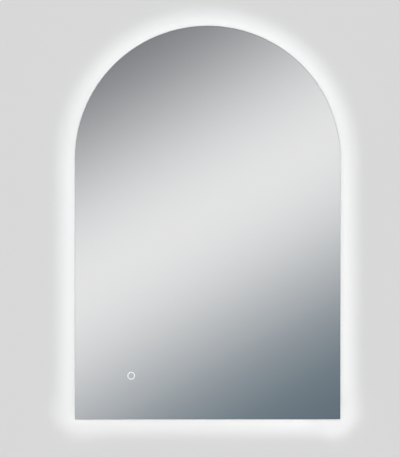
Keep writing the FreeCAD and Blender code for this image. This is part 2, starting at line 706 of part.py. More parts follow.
def build_frame():
    """The two bent channel sections, with every hole that is drilled in them."""
    lip_front = f"({FRAME_BACK} + dims.frame_wall)"
    arch_holes = []
    sill_holes = [screw_hole("earth_hole", TAG_X, LIP_MIDDLE, FRAME_BACK, lip_front)]
    for i, (x, z) in enumerate(bracket_screw_places()):
        holes = sill_holes if i % 2 else arch_holes
        holes.append(thread_hole(f"bracket_hole{i}", x, z, FRAME_BACK, lip_front))
    for i, (x, z) in enumerate(hanger_screw_places()):
        arch_holes.append(thread_hole(f"hanger_hole{i}", x, z, FRAME_BACK, lip_front))
    arch_holes.append(bar("web_hole", f"{WEB_OUT} - {HALF}", LEAD_Z, LEAD_WEB_D,
                          "dims.frame_wall", "dims.lead_radius + dims.lead_clearance"))
    arch = profile("frame_arch", arch_loop, frame_bands())
    sill = profile("frame_sill", sill_loop, frame_bands())
    keep(cut("frame_arch", arch, arch_holes), "frame_arch")
    keep(cut("frame_sill", sill, sill_holes), "frame_sill")


def build_diffusers():
    """The opal strips that close the channel's mouth, seated on the beads and the rear flange."""
    outer = "(dims.frame_inset + dims.bead_width)"
    band = (outer, f"({outer} + dims.diffuser_thk)", f"({FRAME_BACK} + dims.frame_wall)",
            "dims.frame_depth - 2 * dims.frame_wall - dims.diffuser_play")
    for label, loop in (("diffuser_arch", arch_loop), ("diffuser_sill", sill_loop)):
        keep(profile(label, loop, [band]), label)


def build_bond_tape():
    band = ("(dims.frame_inset + dims.bond_margin)", f"({LIP_EDGE} - dims.bond_margin)",
            FRAME_FRONT, "dims.bond_thk")
    pieces = [profile("bond_arch", arch_loop, [band]), profile("bond_sill", sill_loop, [band])]
    keep(group("bond_tape", pieces), "bond_tape")


TAPE_BACK = f"({FRAME_BACK} + dims.frame_depth / 2 - dims.tape_width / 2)"
TAPE_OUT = f"({WEB_OUT} - dims.tape_thk)"


def oriented_chip(x, z, out_x, out_z):
    """A light chip whose length runs along the tape and whose height points outward."""
    long, wide, tall = (number(f"dims.chip_{s}") for s in ("length", "width", "height"))
    chip = Part.makeBox(long, wide, tall, V(-long / 2, -wide / 2, 0))
    outward = V(out_x, 0, out_z)
    across = V(0, -1, 0)
    along = across.cross(outward)
    matrix = FreeCAD.Matrix(along.x, across.x, outward.x, 0, along.y, across.y, outward.y, 0,
                            along.z, across.z, outward.z, 0, 0, 0, 0, 1)
    middle = number(f"{FRAME_BACK} + dims.frame_depth / 2")
    chip.Placement = FreeCAD.Placement(place(x, z, middle), FreeCAD.Rotation(matrix))
    return chip


def build_light_tape():
    """The tape on the channel's web, and its chips at a steady pitch."""
    band = (TAPE_OUT, WEB_OUT, TAPE_BACK, "dims.tape_width")
    keep(profile("light_tape_arch", arch_loop, [band]), "light_tape_arch")
    keep(profile("light_tape_sill", sill_loop, [band]), "light_tape_sill")
    pitch = number("dims.chip_pitch")
    radius = number(f"{HALF} - {TAPE_OUT}")
    bottom, spring = number(TAPE_OUT), number(SPRING)
    leg, turn = spring - bottom, math.pi * radius
    chips = []
    count = int((2 * leg + turn) / pitch)
    start = (2 * leg + turn - (count - 1) * pitch) / 2
    for i in range(count):
        s = start + i * pitch
        if s < leg:
            chips.append(oriented_chip(radius, bottom + s, 1, 0))
        elif s > leg + turn:
            chips.append(oriented_chip(-radius, spring - (s - leg - turn), -1, 0))
        else:
            angle = (s - leg) / radius
            c, t = math.cos(angle), math.sin(angle)
            chips.append(oriented_chip(radius * c, spring + radius * t, c, t))
    keep(free_shape("arch_chips", Part.makeCompound(chips)), "light_chips_arch")
    count = int(2 * radius / pitch)
    chips = [
        oriented_chip((i - (count - 1) / 2) * pitch, bottom, 0, -1) for i in range(count)
    ]
    keep(free_shape("sill_chips", Part.makeCompound(chips)), "light_chips_sill")


def build_brackets():
    """An L-shaped plate behind each bottom corner of the frame, and its screws."""
    near = f"({FRAME_BACK} - dims.bracket_thk)"
    outer = f"({LIP_EDGE} - dims.bracket_width)"
    reach = "(dims.bracket_width + dims.bracket_leg)"
    plates = []
    screws = []
    for side, name in (("", "right"), ("-", "left")):
        upright = block(f"bracket_upright_{name}",
                        f"{side}({HALF} - {outer} - dims.bracket_width / 2)",
                        f"({outer} + {reach} / 2)", near, FRAME_BACK, "dims.bracket_width", reach)
        level = block(f"bracket_level_{name}", f"{side}({HALF} - {outer} - {reach} / 2)",
                      f"({outer} + dims.bracket_width / 2)", near, FRAME_BACK, reach,
                      "dims.bracket_width")
        plates.append((name, join(f"bracket_{name}", [upright, level])))
    places = bracket_screw_places()
    drilled = []
    for side, (name, plate) in enumerate(plates):
        mine = places[4 * side:4 * side + 4]
        holes = [screw_hole(f"bracket_{name}_hole{i}", x, z, near, FRAME_BACK)
                 for i, (x, z) in enumerate(mine)]
        drilled.append(cut(f"bracket_{name}_drilled", plate, holes))
    for i, (x, z) in enumerate(places):
        screws.append(frame_screw(f"bracket_screw{i}", x, z, near))
    keep(group("corner_brackets", drilled), "corner_brackets")
    keep(group("bracket_screws", screws), "bracket_screws")


def build_bumpers():
    """Rubber bumpers that keep the bottom of the frame off the wall."""
    middle = f"(dims.frame_inset + {LIP_EDGE}) / 2"
    pads = [
        rod(f"bumper{i}", f"{side}({HALF} - {middle})", "dims.bumper_z", "0", FRAME_BACK,
            "dims.bumper_radius")
        for i, side in enumerate(("", "-"))
    ]
    keep(group("wall_bumpers", pads), "wall_bumpers")


# ---------------------------------------------------------------- hanging


def round_bend(body, feature, d, z, radius):
    """Rounds the edge along X at depth d and height z."""
    target = place(0, number(z), number(d))
    names = [
        f"Edge{i}"
        for i, edge in enumerate(feature.Shape.Edges, start=1)
        if abs(edge.BoundBox.ZLength) < 1e-6 and abs(edge.BoundBox.YLength) < 1e-6
        and abs(edge.CenterOfMass.y - target.y) < 1e-4 and abs(edge.CenterOfMass.z - target.z) < 1e-4
    ]
    if not names:
        raise RuntimeError(f"{body.Name}: no bend at depth {d}, height {z}")
    fillet = body.newObject("PartDesign::Fillet", "Bend")
    fillet.Base = (feature, names)
    fillet.setExpression("Radius", radius)
    doc.recompute()
    return fillet


def bent_sheet(name, strips, bends):
    """Sheet metal bent along X: strips are (low z, high z, near d, far d, length)."""
    body = new_body(name)
    for i, (low, high, near, far, length) in enumerate(strips):
        sketch = wall_sketch(body, f"{name}_strip{i}", near, "0", f"({low} + {high}) / 2")
        rectangle(sketch, length, f"{high} - {low}")
        feature = pad(body, sketch, f"{far} - {near}")
    for d, z, radius in bends:
        feature = round_bend(body, feature, d, z, radius)
    return body


LIP_BACK = f"({FRAME_BACK} + dims.rail_play)"


def build_rail():
    """The rail on the wall: plate, shelf and a lip that stands off the wall."""
    low = f"({RAIL_RISE} - dims.rail_drop)"
    under = f"({SHELF_TOP} - dims.rail_thk)"
    face = f"({LIP_BACK} + dims.rail_thk)"
    length = "dims.rail_length"
    rail = bent_sheet(
        "wall_rail",
        [(low, SHELF_TOP, "0", "dims.rail_thk", length), (under, SHELF_TOP, "0", face, length),
         (under, f"({SHELF_TOP} + dims.rail_lip)", LIP_BACK, face, length)],
        [("0", SHELF_TOP, "dims.bend_outside"), ("dims.rail_thk", under, "dims.bend_inside"),
         (face, under, "dims.bend_outside"), (LIP_BACK, SHELF_TOP, "dims.bend_inside")],
    )
    half_gap = "(dims.slot_length - dims.slot_width) / 2"
    tools = []
    for side, tag in (("", "right"), ("-", "left")):
        middle = f"{side}dims.slot_spacing / 2"
        for end, which in (("+", "far"), ("-", "near")):
            tools.append(rod(f"slot_{tag}_{which}", f"{middle} {end} {half_gap}", RAIL_RISE, "0",
                             "dims.rail_thk", "dims.slot_width / 2"))
        tools.append(block(f"slot_{tag}", middle, RAIL_RISE, "0", "dims.rail_thk",
                           "dims.slot_length - dims.slot_width", "dims.slot_width"))
    keep(cut("wall_rail", rail, tools), "wall_rail")


def build_hanger():
    """The bar across the back of the frame. Its bottom edge stands in the rail's throat."""
    near = f"({FRAME_BACK} - dims.hanger_thk)"
    under = f"({HANGER_TOP} - dims.hanger_thk)"
    whole = f"2 * ({half_width_at(HANGER_TOP, 'dims.frame_inset')} - dims.hanger_margin)"
    inner = f"2 * ({half_width_at(HANGER_TOP, LIP_EDGE)} - dims.hanger_margin)"
    body = bent_sheet(
        "hanger_bar",
        [(SHELF_TOP, HANGER_TOP, near, FRAME_BACK, whole),
         (under, HANGER_TOP, near, f"({near} + dims.hanger_flange)", inner)],
        [(FRAME_BACK, under, "dims.bend_inside")],
    )
    holes = []
    screws = []
    for i, (x, z) in enumerate(hanger_screw_places()):
        holes.append(screw_hole(f"bar_hole{i}", x, z, near, FRAME_BACK))
        screws.append(frame_screw(f"hanger_screw{i}", x, z, near))
    keep(cut("hanger_bar", body, holes), "hanger_bar")
    keep(group("hanger_screws", screws), "hanger_screws")


# ---------------------------------------------------------------- demister


def build_demister():
    body = new_body("demister_film")
    sketch = wall_sketch(body, "demister_outline", DEMISTER_BACK, "0", "dims.demister_z")
    rectangle(sketch, "dims.demister_width", "dims.demister_height")
    sheet_pad = pad(body, sketch, "dims.demister_thk")
    round_corners(body, sheet_pad, "dims.demister_corner")
    keep(body, "demister_film")

    width, pitch = number("dims.track_width"), number("dims.track_pitch")
    reach = number("dims.demister_width / 2 - dims.track_margin")
    tall = number("dims.demister_height / 2 - dims.track_margin") * 2 - width
    runs = 2 * int(tall / pitch / 2) + 1
    low = number("dims.demister_z") - (runs - 1) * pitch / 2
    near, far = number(TRACK_BACK), number(DEMISTER_BACK)

    def strip(x0, x1, z0, z1):
        corner = place(x0, z0, far)
        return Part.makeBox(x1 - x0, far - near, z1 - z0, corner)

    strips = []
    for i in range(runs):
        z = low + i * pitch
        strips.append(strip(-reach, reach, z - width / 2, z + width / 2))
        if i < runs - 1:
            x = reach - width if i % 2 == 0 else -reach
            strips.append(strip(x, x + width, z, z + pitch))
    track = strips[0].multiFuse(strips[1:]).removeSplitter()
    keep(free_shape("track", track), "demister_track")

    cap = block("demister_cap", "0", CAP_Z, f"({TRACK_BACK} - dims.cap_depth)", TRACK_BACK,
                "dims.cap_width", "dims.cap_height")
    keep(cap, "demister_cap")


CAP_Z = "(dims.demister_z - dims.demister_height / 2 + dims.track_margin + dims.cap_height / 2)"

# ---------------------------------------------------------------- equipment plate


def driver_ear_x(side):
    return f"({DRIVER_X} {side} (dims.driver_length / 2 + dims.ear_length / 2))"


def box_foot_x(side):
    return f"({BOX_X} {side} (dims.box_length / 2 - dims.foot_inset))"


BOX_FOOT_Z = "(dims.gear_z + dims.box_height / 2 - dims.foot_inset)"


def build_plate():
    """The plate that carries the equipment, taped to the back of the pane."""
    far = f"({PLATE_BACK} + dims.plate_thk)"
    left = f"({DRIVER_LEFT} - dims.ear_length - dims.plate_margin)"
    right = f"({BOX_RIGHT} + dims.plate_margin)"
    middle, length = f"({left} + {right}) / 2", f"{right} - {left}"
    slab = block("plate_slab", middle, "dims.gear_z", PLATE_BACK, far, length, "dims.plate_height")
    holes = [
        thread_hole(f"plate_hole_ear{i}", driver_ear_x(s), "dims.gear_z", PLATE_BACK, far)
        for i, s in enumerate("+-")
    ]
    holes += [
        thread_hole(f"plate_hole_box{i}", box_foot_x(s), BOX_FOOT_Z, PLATE_BACK, far)
        for i, s in enumerate("+-")
    ]
    keep(cut("equipment_plate", slab, holes), "equipment_plate")
    strips = [
        block(f"foam_strip{i}", middle,
              f"(dims.gear_z {s} (dims.plate_height / 2 - dims.foam_width / 2))", far, FILM_BACK,
              length, "dims.foam_width")
        for i, s in enumerate("+-")
    ]
    keep(group("plate_foam", strips), "plate_foam")


# ---------------------------------------------------------------- power supply

DRIVER_RIM = f"({PLATE_BACK} - dims.driver_depth)"
DRIVER_FLOOR = f"({PLATE_BACK} - dims.driver_wall)"
DRIVER_LEAD_D = f"({PLATE_BACK} - dims.driver_depth / 2)"
BOARD_FRONT = f"({DRIVER_FLOOR} - dims.board_gap)"
BOARD_BACK = f"({BOARD_FRONT} - dims.board_thk)"


def post_places():
    """x and z of the power supply's four screw posts."""
    across = "(dims.driver_length / 2 - dims.post_inset)"
    up = "(dims.driver_height / 2 - dims.post_inset)"
    return [(f"({DRIVER_X} {a} {across})", f"(dims.gear_z {b} {up})") for a in "+-" for b in "+-"]


def build_driver():
    body = new_body("driver_case")
    outline = wall_sketch(body, "driver_outline", DRIVER_RIM, DRIVER_X, "dims.gear_z")
    rectangle(outline, "dims.driver_length", "dims.driver_height")
    solid = pad(body, outline, "dims.driver_depth")
    round_corners(body, solid, "dims.driver_corner")
    hollow = wall_sketch(body, "driver_hollow", DRIVER_FLOOR, DRIVER_X, "dims.gear_z")
    rectangle(hollow, "dims.driver_length - 2 * dims.driver_wall",
              "dims.driver_height - 2 * dims.driver_wall")
    pocket(body, hollow, "dims.driver_depth - dims.driver_wall")
    ears = wall_sketch(body, "driver_ears", f"{PLATE_BACK} - dims.ear_thk", DRIVER_X,
                       "dims.gear_z")
    rectangle(ears, "dims.driver_length + 2 * dims.ear_length", "dims.ear_height")
    rectangle(ears, "dims.driver_length - dims.driver_wall", "dims.ear_height / 2")
    pad(body, ears, "dims.ear_thk")
    posts = [rod(f"driver_post{i}", x, z, DRIVER_RIM, DRIVER_FLOOR, "dims.post_radius")
             for i, (x, z) in enumerate(post_places())]
    small_hole = "dims.small_screw_radius + dims.small_clearance"
    holes = [rod(f"driver_post_hole{i}", x, z, DRIVER_RIM, f"({DRIVER_RIM} + dims.small_length)",
                 small_hole)
             for i, (x, z) in enumerate(post_places())]
    holes += [screw_hole(f"ear_hole{i}", driver_ear_x(s), "dims.gear_z",
                         f"({PLATE_BACK} - dims.ear_thk)", PLATE_BACK) for i, s in enumerate("+-")]
    holes.append(bar("driver_out_hole", DRIVER_LEFT, "dims.gear_z", DRIVER_LEAD_D,
                     "dims.driver_wall", "dims.lead_radius + dims.lead_clearance"))
    holes.append(bar("driver_in_hole", f"{DRIVER_RIGHT} - dims.driver_wall", MAINS_IN_Z,
                     DRIVER_LEAD_D, "dims.driver_wall", "dims.mains_radius + dims.lead_clearance"))
    keep(cut("driver_case", join("driver_shell", [body] + posts), holes), "driver_case")

    lid_back = f"({DRIVER_RIM} - dims.driver_lid)"
    lid = new_body("driver_cover")
    face = wall_sketch(lid, "cover_outline", lid_back, DRIVER_X, "dims.gear_z")
    rectangle(face, "dims.driver_length", "dims.driver_height")
    round_corners(lid, pad(lid, face, "dims.driver_lid"), "dims.driver_corner")
    lid_holes = [rod(f"cover_hole{i}", x, z, lid_back, DRIVER_RIM, small_hole)
                 for i, (x, z) in enumerate(post_places())]
    keep(cut("driver_cover", lid, lid_holes), "driver_cover")
    cover_screws = [
        screw(f"cover_screw{i}", x, z, lid_back, "dims.small_screw_radius", "dims.small_head_radius",
              "dims.small_head", "dims.small_length + dims.driver_lid - dims.small_end_gap")
        for i, (x, z) in enumerate(post_places())
    ]
    keep(group("driver_cover_screws", cover_screws), "driver_cover_screws")
    ear_screws = [
        frame_screw(f"ear_screw{i}", driver_ear_x(s), "dims.gear_z",
                    f"({PLATE_BACK} - dims.ear_thk)",
                    "dims.ear_thk + dims.plate_thk + dims.screw_tail")
        for i, s in enumerate("+-")
    ]
    keep(group("driver_mount_screws", ear_screws), "driver_mount_screws")


def build_driver_inside():
    """The circuit board, notched round the posts, and what stands on it."""
    slab = block("driver_board_slab", DRIVER_X, "dims.gear_z", BOARD_BACK, BOARD_FRONT,
                 "dims.driver_length - 2 * dims.driver_wall - 2 * dims.board_margin",
                 "dims.driver_height - 2 * dims.driver_wall - 2 * dims.board_margin")
    notches = []
    for i, (x, z) in enumerate(post_places()):
        right, up = "+-"[i // 2], "+-"[i % 2]
        notches.append(rod(f"board_notch{i}", x, z, BOARD_BACK, BOARD_FRONT,
                           "dims.post_radius + dims.board_margin"))
        notches.append(block(f"board_corner{i}", f"({x} {right} dims.post_inset / 2)",
                             f"({z} {up} dims.post_inset / 2)", BOARD_BACK, BOARD_FRONT,
                             "dims.post_inset", "dims.post_inset"))
    keep(cut("driver_board", slab, notches), "driver_board")
    spacers = [
        rod(f"board_spacer{i}", f"{DRIVER_X} {s} dims.spacer_shift", "dims.gear_z", BOARD_FRONT,
            DRIVER_FLOOR, "dims.post_radius")
        for i, s in enumerate("+-")
    ]
    keep(group("board_spacers", spacers), "board_spacers")

    top = f"({DRIVER_RIM} + dims.cover_gap)"
    core = block("coil_core", DRIVER_X, "dims.gear_z", f"({top} + dims.board_margin)", BOARD_BACK,
                 "dims.coil_length", "dims.coil_width")
    winding = block("coil_winding", DRIVER_X, "dims.gear_z", top, BOARD_BACK,
                    "dims.winding_length", "dims.winding_width")
    keep(join("transformer", [core, winding]), "driver_transformer")

    level = "(dims.gear_z - dims.can_offset)"
    first = "(dims.driver_length / 2 - dims.can_inset)"
    cans = []
    for side, tag in (("+", "right"), ("-", "left")):
        cans.append(rod(f"large_can_{tag}", f"{DRIVER_X} {side} {first}", level, top, BOARD_BACK,
                        "dims.can_radius"))
        cans.append(rod(f"small_can_{tag}", f"{DRIVER_X} {side} ({first} - dims.can_pitch)", level,
                        top, BOARD_BACK, "dims.small_can_radius"))
    keep(group("capacitors", cans), "driver_capacitors")

    sink_z = "(dims.gear_z + dims.sink_offset)"
    middle = f"({DRIVER_X} - dims.sink_x)"
    pieces = [block("sink_base", middle, sink_z, top, BOARD_BACK, "dims.sink_length",
                    "dims.sink_thk")]
    fins = int(number("dims.sink_length / dims.fin_pitch")) + 1
    for i in range(fins):
        pieces.append(block(f"sink_fin{i}", f"{middle} + {i - (fins - 1) / 2} * dims.fin_pitch",
                            f"({sink_z} - dims.sink_thk / 2 - dims.fin_reach / 2)", top,
                            BOARD_BACK, "dims.fin_thk", "dims.fin_reach"))
    keep(join("heat_sink", pieces), "driver_heat_sink")


# ---------------------------------------------------------------- connection box

BOX_RIM = f"({PLATE_BACK} - dims.box_depth)"
BOX_FLOOR = f"({PLATE_BACK} - dims.box_wall)"
BOX_TOP = "(dims.gear_z + dims.box_height / 2)"
BOX_BOTTOM = "(dims.gear_z - dims.box_height / 2)"
BOX_MIDDLE_D = f"(({BOX_RIM} + {BOX_FLOOR}) / 2)"
LID_BACK = f"({BOX_RIM} - dims.lid_thk)"
HINGE_Z = f"({BOX_TOP} + dims.hinge_rise)"
HINGE_D = f"({BOX_RIM} - dims.lid_thk / 2)"
MAINS_IN_Z = "(dims.gear_z + dims.mains_in_rise)"
MAINS_OUT_Z = "(dims.gear_z - dims.mains_out_drop)"
LID_SCREW_Z = f"({BOX_BOTTOM} + dims.boss_rise)"


def build_box():
    body = new_body("connection_box")
    outline = wall_sketch(body, "box_outline", BOX_RIM, BOX_X, "dims.gear_z")
    rectangle(outline, "dims.box_length", "dims.box_height")
    round_corners(body, pad(body, outline, "dims.box_depth"), "dims.box_corner")
    hollow = wall_sketch(body, "box_hollow", BOX_FLOOR, BOX_X, "dims.gear_z")
    rectangle(hollow, "dims.box_length - 2 * dims.box_wall", "dims.box_height - 2 * dims.box_wall")
    pocket(body, hollow, "dims.box_depth - dims.box_wall")

    extras = [rod("box_boss", BOX_X, LID_SCREW_Z, f"({BOX_RIM} + dims.boss_gap)", BOX_FLOOR,
                  "dims.boss_radius")]
    for i, side in enumerate("+-"):
        middle = f"({BOX_X} {side} (dims.hinge_length / 2 + dims.hinge_gap + dims.lug_thk / 2))"
        extras.append(bar(f"lug_round{i}", f"{middle} - dims.lug_thk / 2", HINGE_Z, HINGE_D,
                          "dims.lug_thk", "dims.hinge_radius"))
        extras.append(block(f"lug_web{i}", middle, f"({HINGE_Z} - dims.hinge_rise / 2)", HINGE_D,
                            f"({HINGE_D} + dims.lug_reach)", "dims.lug_thk", "dims.hinge_rise"))
    pin_hole = bar("lug_bore", f"{BOX_X} - {PIN_LENGTH} / 2", HINGE_Z, HINGE_D, PIN_LENGTH,
                   "dims.pin_radius + dims.pin_clearance")
    holes = [
        pin_hole,
        rod("boss_bore", BOX_X, LID_SCREW_Z, BOX_RIM,
            f"({LID_BACK} + dims.lid_screw_length + dims.lid_screw_end_gap)",
            "dims.lid_screw_radius + dims.lid_screw_clearance"),
        bar("gland_hole", f"{BOX_RIGHT} - dims.box_wall", "dims.gear_z", BOX_MIDDLE_D,
            "dims.box_wall", "dims.gland_thread + dims.gland_play"),
        bar("mains_out_hole", BOX_LEFT, MAINS_OUT_Z, BOX_MIDDLE_D, "dims.box_wall",
            "dims.mains_radius + dims.lead_clearance"),
        upright_bar("heater_hole", SIDE_LEAD_X, f"{BOX_TOP} - dims.box_wall", BOX_MIDDLE_D,
                    "dims.box_wall", "dims.heater_radius + dims.lead_clearance"),
        upright_bar("earth_wire_hole", SIDE_LEAD_X, BOX_BOTTOM, BOX_MIDDLE_D, "dims.box_wall",
                    "dims.earth_radius + dims.lead_clearance"),
    ]
    holes += [screw_hole(f"box_foot_hole{i}", box_foot_x(s), BOX_FOOT_Z, BOX_FLOOR, PLATE_BACK)
              for i, s in enumerate("+-")]
    keep(cut("connection_box", join("box_shell", [body] + extras), holes), "connection_box")
    feet = [
        frame_screw(f"box_screw{i}", box_foot_x(s), BOX_FOOT_Z, BOX_FLOOR,
                    "dims.box_wall + dims.plate_thk + dims.screw_tail")
        for i, s in enumerate("+-")
    ]
    keep(group("box_mount_screws", feet), "box_mount_screws")


PIN_LENGTH = "(dims.hinge_length + 2 * dims.hinge_gap + 2 * dims.lug_thk)"


def upright_bar(name, x, start, d, length, radius):
    """A cylinder that runs up from start."""
    cylinder = doc.addObject("Part::Cylinder", name)
    bind(cylinder, Radius=radius, Height=length, X=x, Y=f"-({d})", Z=f"{start} - {RAIL_RISE}")
    return cylinder


def build_lid():
    """The hinged lid with its barrel, the hinge pin and the captive screw."""
    top = f"({BOX_TOP} - dims.lid_gap)"
    body = new_body("box_lid")
    outline = wall_sketch(body, "lid_outline", LID_BACK, BOX_X,
                          f"({BOX_BOTTOM} + {top}) / 2")
    rectangle(outline, "dims.box_length", "dims.box_height - dims.lid_gap")
    round_corners(body, pad(body, outline, "dims.lid_thk"), "dims.box_corner")
    tongue_low = f"({top} - dims.tongue_overlap)"
    tongue = block("lid_tongue", BOX_X, f"(({tongue_low} + {HINGE_Z}) / 2)", LID_BACK, BOX_RIM,
                   "dims.hinge_length", f"{HINGE_Z} - {tongue_low}")
    barrel = bar("lid_barrel", f"{BOX_X} - dims.hinge_length / 2", HINGE_Z, HINGE_D,
                 "dims.hinge_length", "dims.hinge_radius")
    bore = bar("barrel_bore", f"{BOX_X} - dims.hinge_length / 2", HINGE_Z, HINGE_D,
               "dims.hinge_length", "dims.pin_radius + dims.pin_clearance")
    hole = rod("lid_hole", BOX_X, LID_SCREW_Z, LID_BACK, BOX_RIM,
               "dims.lid_screw_radius + dims.small_clearance")
    keep(cut("box_lid", join("lid_solid", [body, tongue, barrel]), [bore, hole]), "box_lid")
    keep(screw("lid_screw", BOX_X, LID_SCREW_Z, LID_BACK, "dims.lid_screw_radius",
               "dims.lid_screw_head_radius", "dims.lid_screw_head", "dims.lid_screw_length"),
         "lid_screw")
    keep(bar("hinge_pin", f"{BOX_X} - {PIN_LENGTH} / 2", HINGE_Z, HINGE_D, PIN_LENGTH,
             "dims.pin_radius"), "hinge_pin")


BLOCK_Z = "(dims.gear_z + dims.block_rise)"
BLOCK_BACK = f"({BOX_FLOOR} - dims.block_depth)"
WAY_BACK = f"({BLOCK_BACK} + dims.way_cover)"
WAY_FRONT = f"({BOX_FLOOR} - dims.way_floor)"


def pole_x(i):
    """The middle of terminal i, counted from the left."""
    return f"({BLOCK_X} + {i - 1} * dims.pole_pitch)"


def build_terminals():
    """Three-pole terminal block with its clamp screws."""
    solid = block("terminal_solid", BLOCK_X, BLOCK_Z, BLOCK_BACK, BOX_FLOOR, "dims.block_length",
                  "dims.block_height")
    ways = []
    screws = []
    head_back = f"({BLOCK_BACK} + dims.clamp_sunk)"
    for i in range(3):
        ways.append(block(f"wire_way{i}", pole_x(i), BLOCK_Z, WAY_BACK, WAY_FRONT,
                          "dims.way_width", "dims.block_height"))
        for j, s in enumerate("+-"):
            z = f"({BLOCK_Z} {s} dims.block_height / 4)"
            ways.append(rod(f"screw_way{i}{j}", pole_x(i), z, BLOCK_BACK, WAY_BACK,
                            "dims.clamp_radius + dims.small_clearance"))
            head = rod(f"clamp_head{i}{j}", pole_x(i), z, head_back, WAY_BACK, "dims.clamp_radius")
            slot = block(f"clamp_slot{i}{j}", pole_x(i), z, head_back,
                         f"{head_back} + dims.clamp_radius * {SLOT_DEPTH}", "dims.clamp_radius * 2",
                         f"dims.clamp_radius * {SLOT_WIDTH}")
            screws.append(cut(f"clamp_screw{i}{j}", head, [slot]))
    keep(cut("terminal_block", solid, ways), "terminal_block")
    keep(group("terminal_screws", screws), "terminal_screws")


def build_gland():
    """The mains cable's inlet: body, lock nut, rubber seal and dome nut, all along X."""
    z, d = "dims.gear_z", BOX_MIDDLE_D
    wall_in = f"({BOX_RIGHT} - dims.box_wall)"
    stem_start = f"({BOX_RIGHT} - dims.gland_stem)"
    collar_start = f"({BOX_RIGHT} + dims.gland_flange)"
    collar_end = f"({collar_start} + dims.gland_collar)"
    seat = f"({collar_start} + dims.seal_floor)"
    stem = bar("gland_stem", stem_start, z, d, "dims.gland_stem", "dims.gland_thread")
    flange = hexagon("gland_flange", BOX_RIGHT, z, d, "dims.gland_flange", "dims.gland_flats")
    collar = bar("gland_collar", collar_start, z, d, "dims.gland_collar", "dims.gland_thread")
    through = bar("gland_through", stem_start, z, d, f"{collar_end} - {stem_start}",
                  "dims.gland_bore")
    seal_seat = bar("gland_seat", seat, z, d, f"{collar_end} - {seat}",
                    "dims.seal_radius + dims.seal_play")
    keep(cut("gland_body", join("gland_solid", [stem, flange, collar]), [through, seal_seat]),
         "gland_body")

    nut = hexagon("locknut_hex", f"{wall_in} - dims.locknut_thk", z, d, "dims.locknut_thk",
                  "dims.gland_flats")
    nut_bore = bar("locknut_bore", f"{wall_in} - dims.locknut_thk", z, d, "dims.locknut_thk",
                   "dims.gland_thread + dims.gland_play")
    keep(cut("gland_locknut", nut, [nut_bore]), "gland_locknut")

    seal_end = f"({collar_end} + dims.seal_stand)"
    seal = bar("seal_solid", seat, z, d, f"{seal_end} - {seat}", "dims.seal_radius")
    seal_bore = bar("seal_bore", seat, z, d, f"{seal_end} - {seat}", "dims.cable_bore")
    keep(cut("gland_seal", seal, [seal_bore]), "gland_seal")

    dome_start = f"({collar_start} + dims.dome_gap)"
    straight = "(dims.dome_length - dims.dome_cone)"
    dome_hex = hexagon("dome_hex", dome_start, z, d, straight, "dims.gland_flats")
    cone = doc.addObject("Part::Cone", "dome_cone")
    cone.Placement.Rotation = FreeCAD.Rotation(V(0, 1, 0), 90)
    bind(cone, Radius1="dims.gland_flats / 2", Radius2="dims.dome_bore + dims.dome_rim",
         Height="dims.dome_cone", X=f"{dome_start} + {straight}", Y=f"-({d})",
         Z=f"{z} - {RAIL_RISE}")
    socket = bar("dome_socket", dome_start, z, d, f"{seal_end} - {dome_start}",
                 "dims.gland_thread + dims.gland_play")
    opening = bar("dome_opening", dome_start, z, d, "dims.dome_length", "dims.dome_bore")
    keep(cut("gland_dome_nut", join("dome_solid", [dome_hex, cone]), [socket, opening]),
         "gland_dome_nut")


# ---------------------------------------------------------------- touch switch

SENSOR_BACK = f"({FILM_BACK} - dims.sensor_depth)"
SENSOR_FLOOR = f"({SENSOR_BACK} + dims.sensor_wall)"
SENSOR_BOARD_BACK = f"({SENSOR_FLOOR} + dims.sensor_board_gap)"
SENSOR_BOARD_FRONT = f"({SENSOR_BOARD_BACK} + dims.board_thk)"
SENSOR_LEFT = f"({RING_X} - dims.sensor_length / 2)"
SENSOR_LEAD_D = f"({FILM_BACK} - dims.lead_radius - dims.lead_clearance - dims.sensor_lead_edge)"


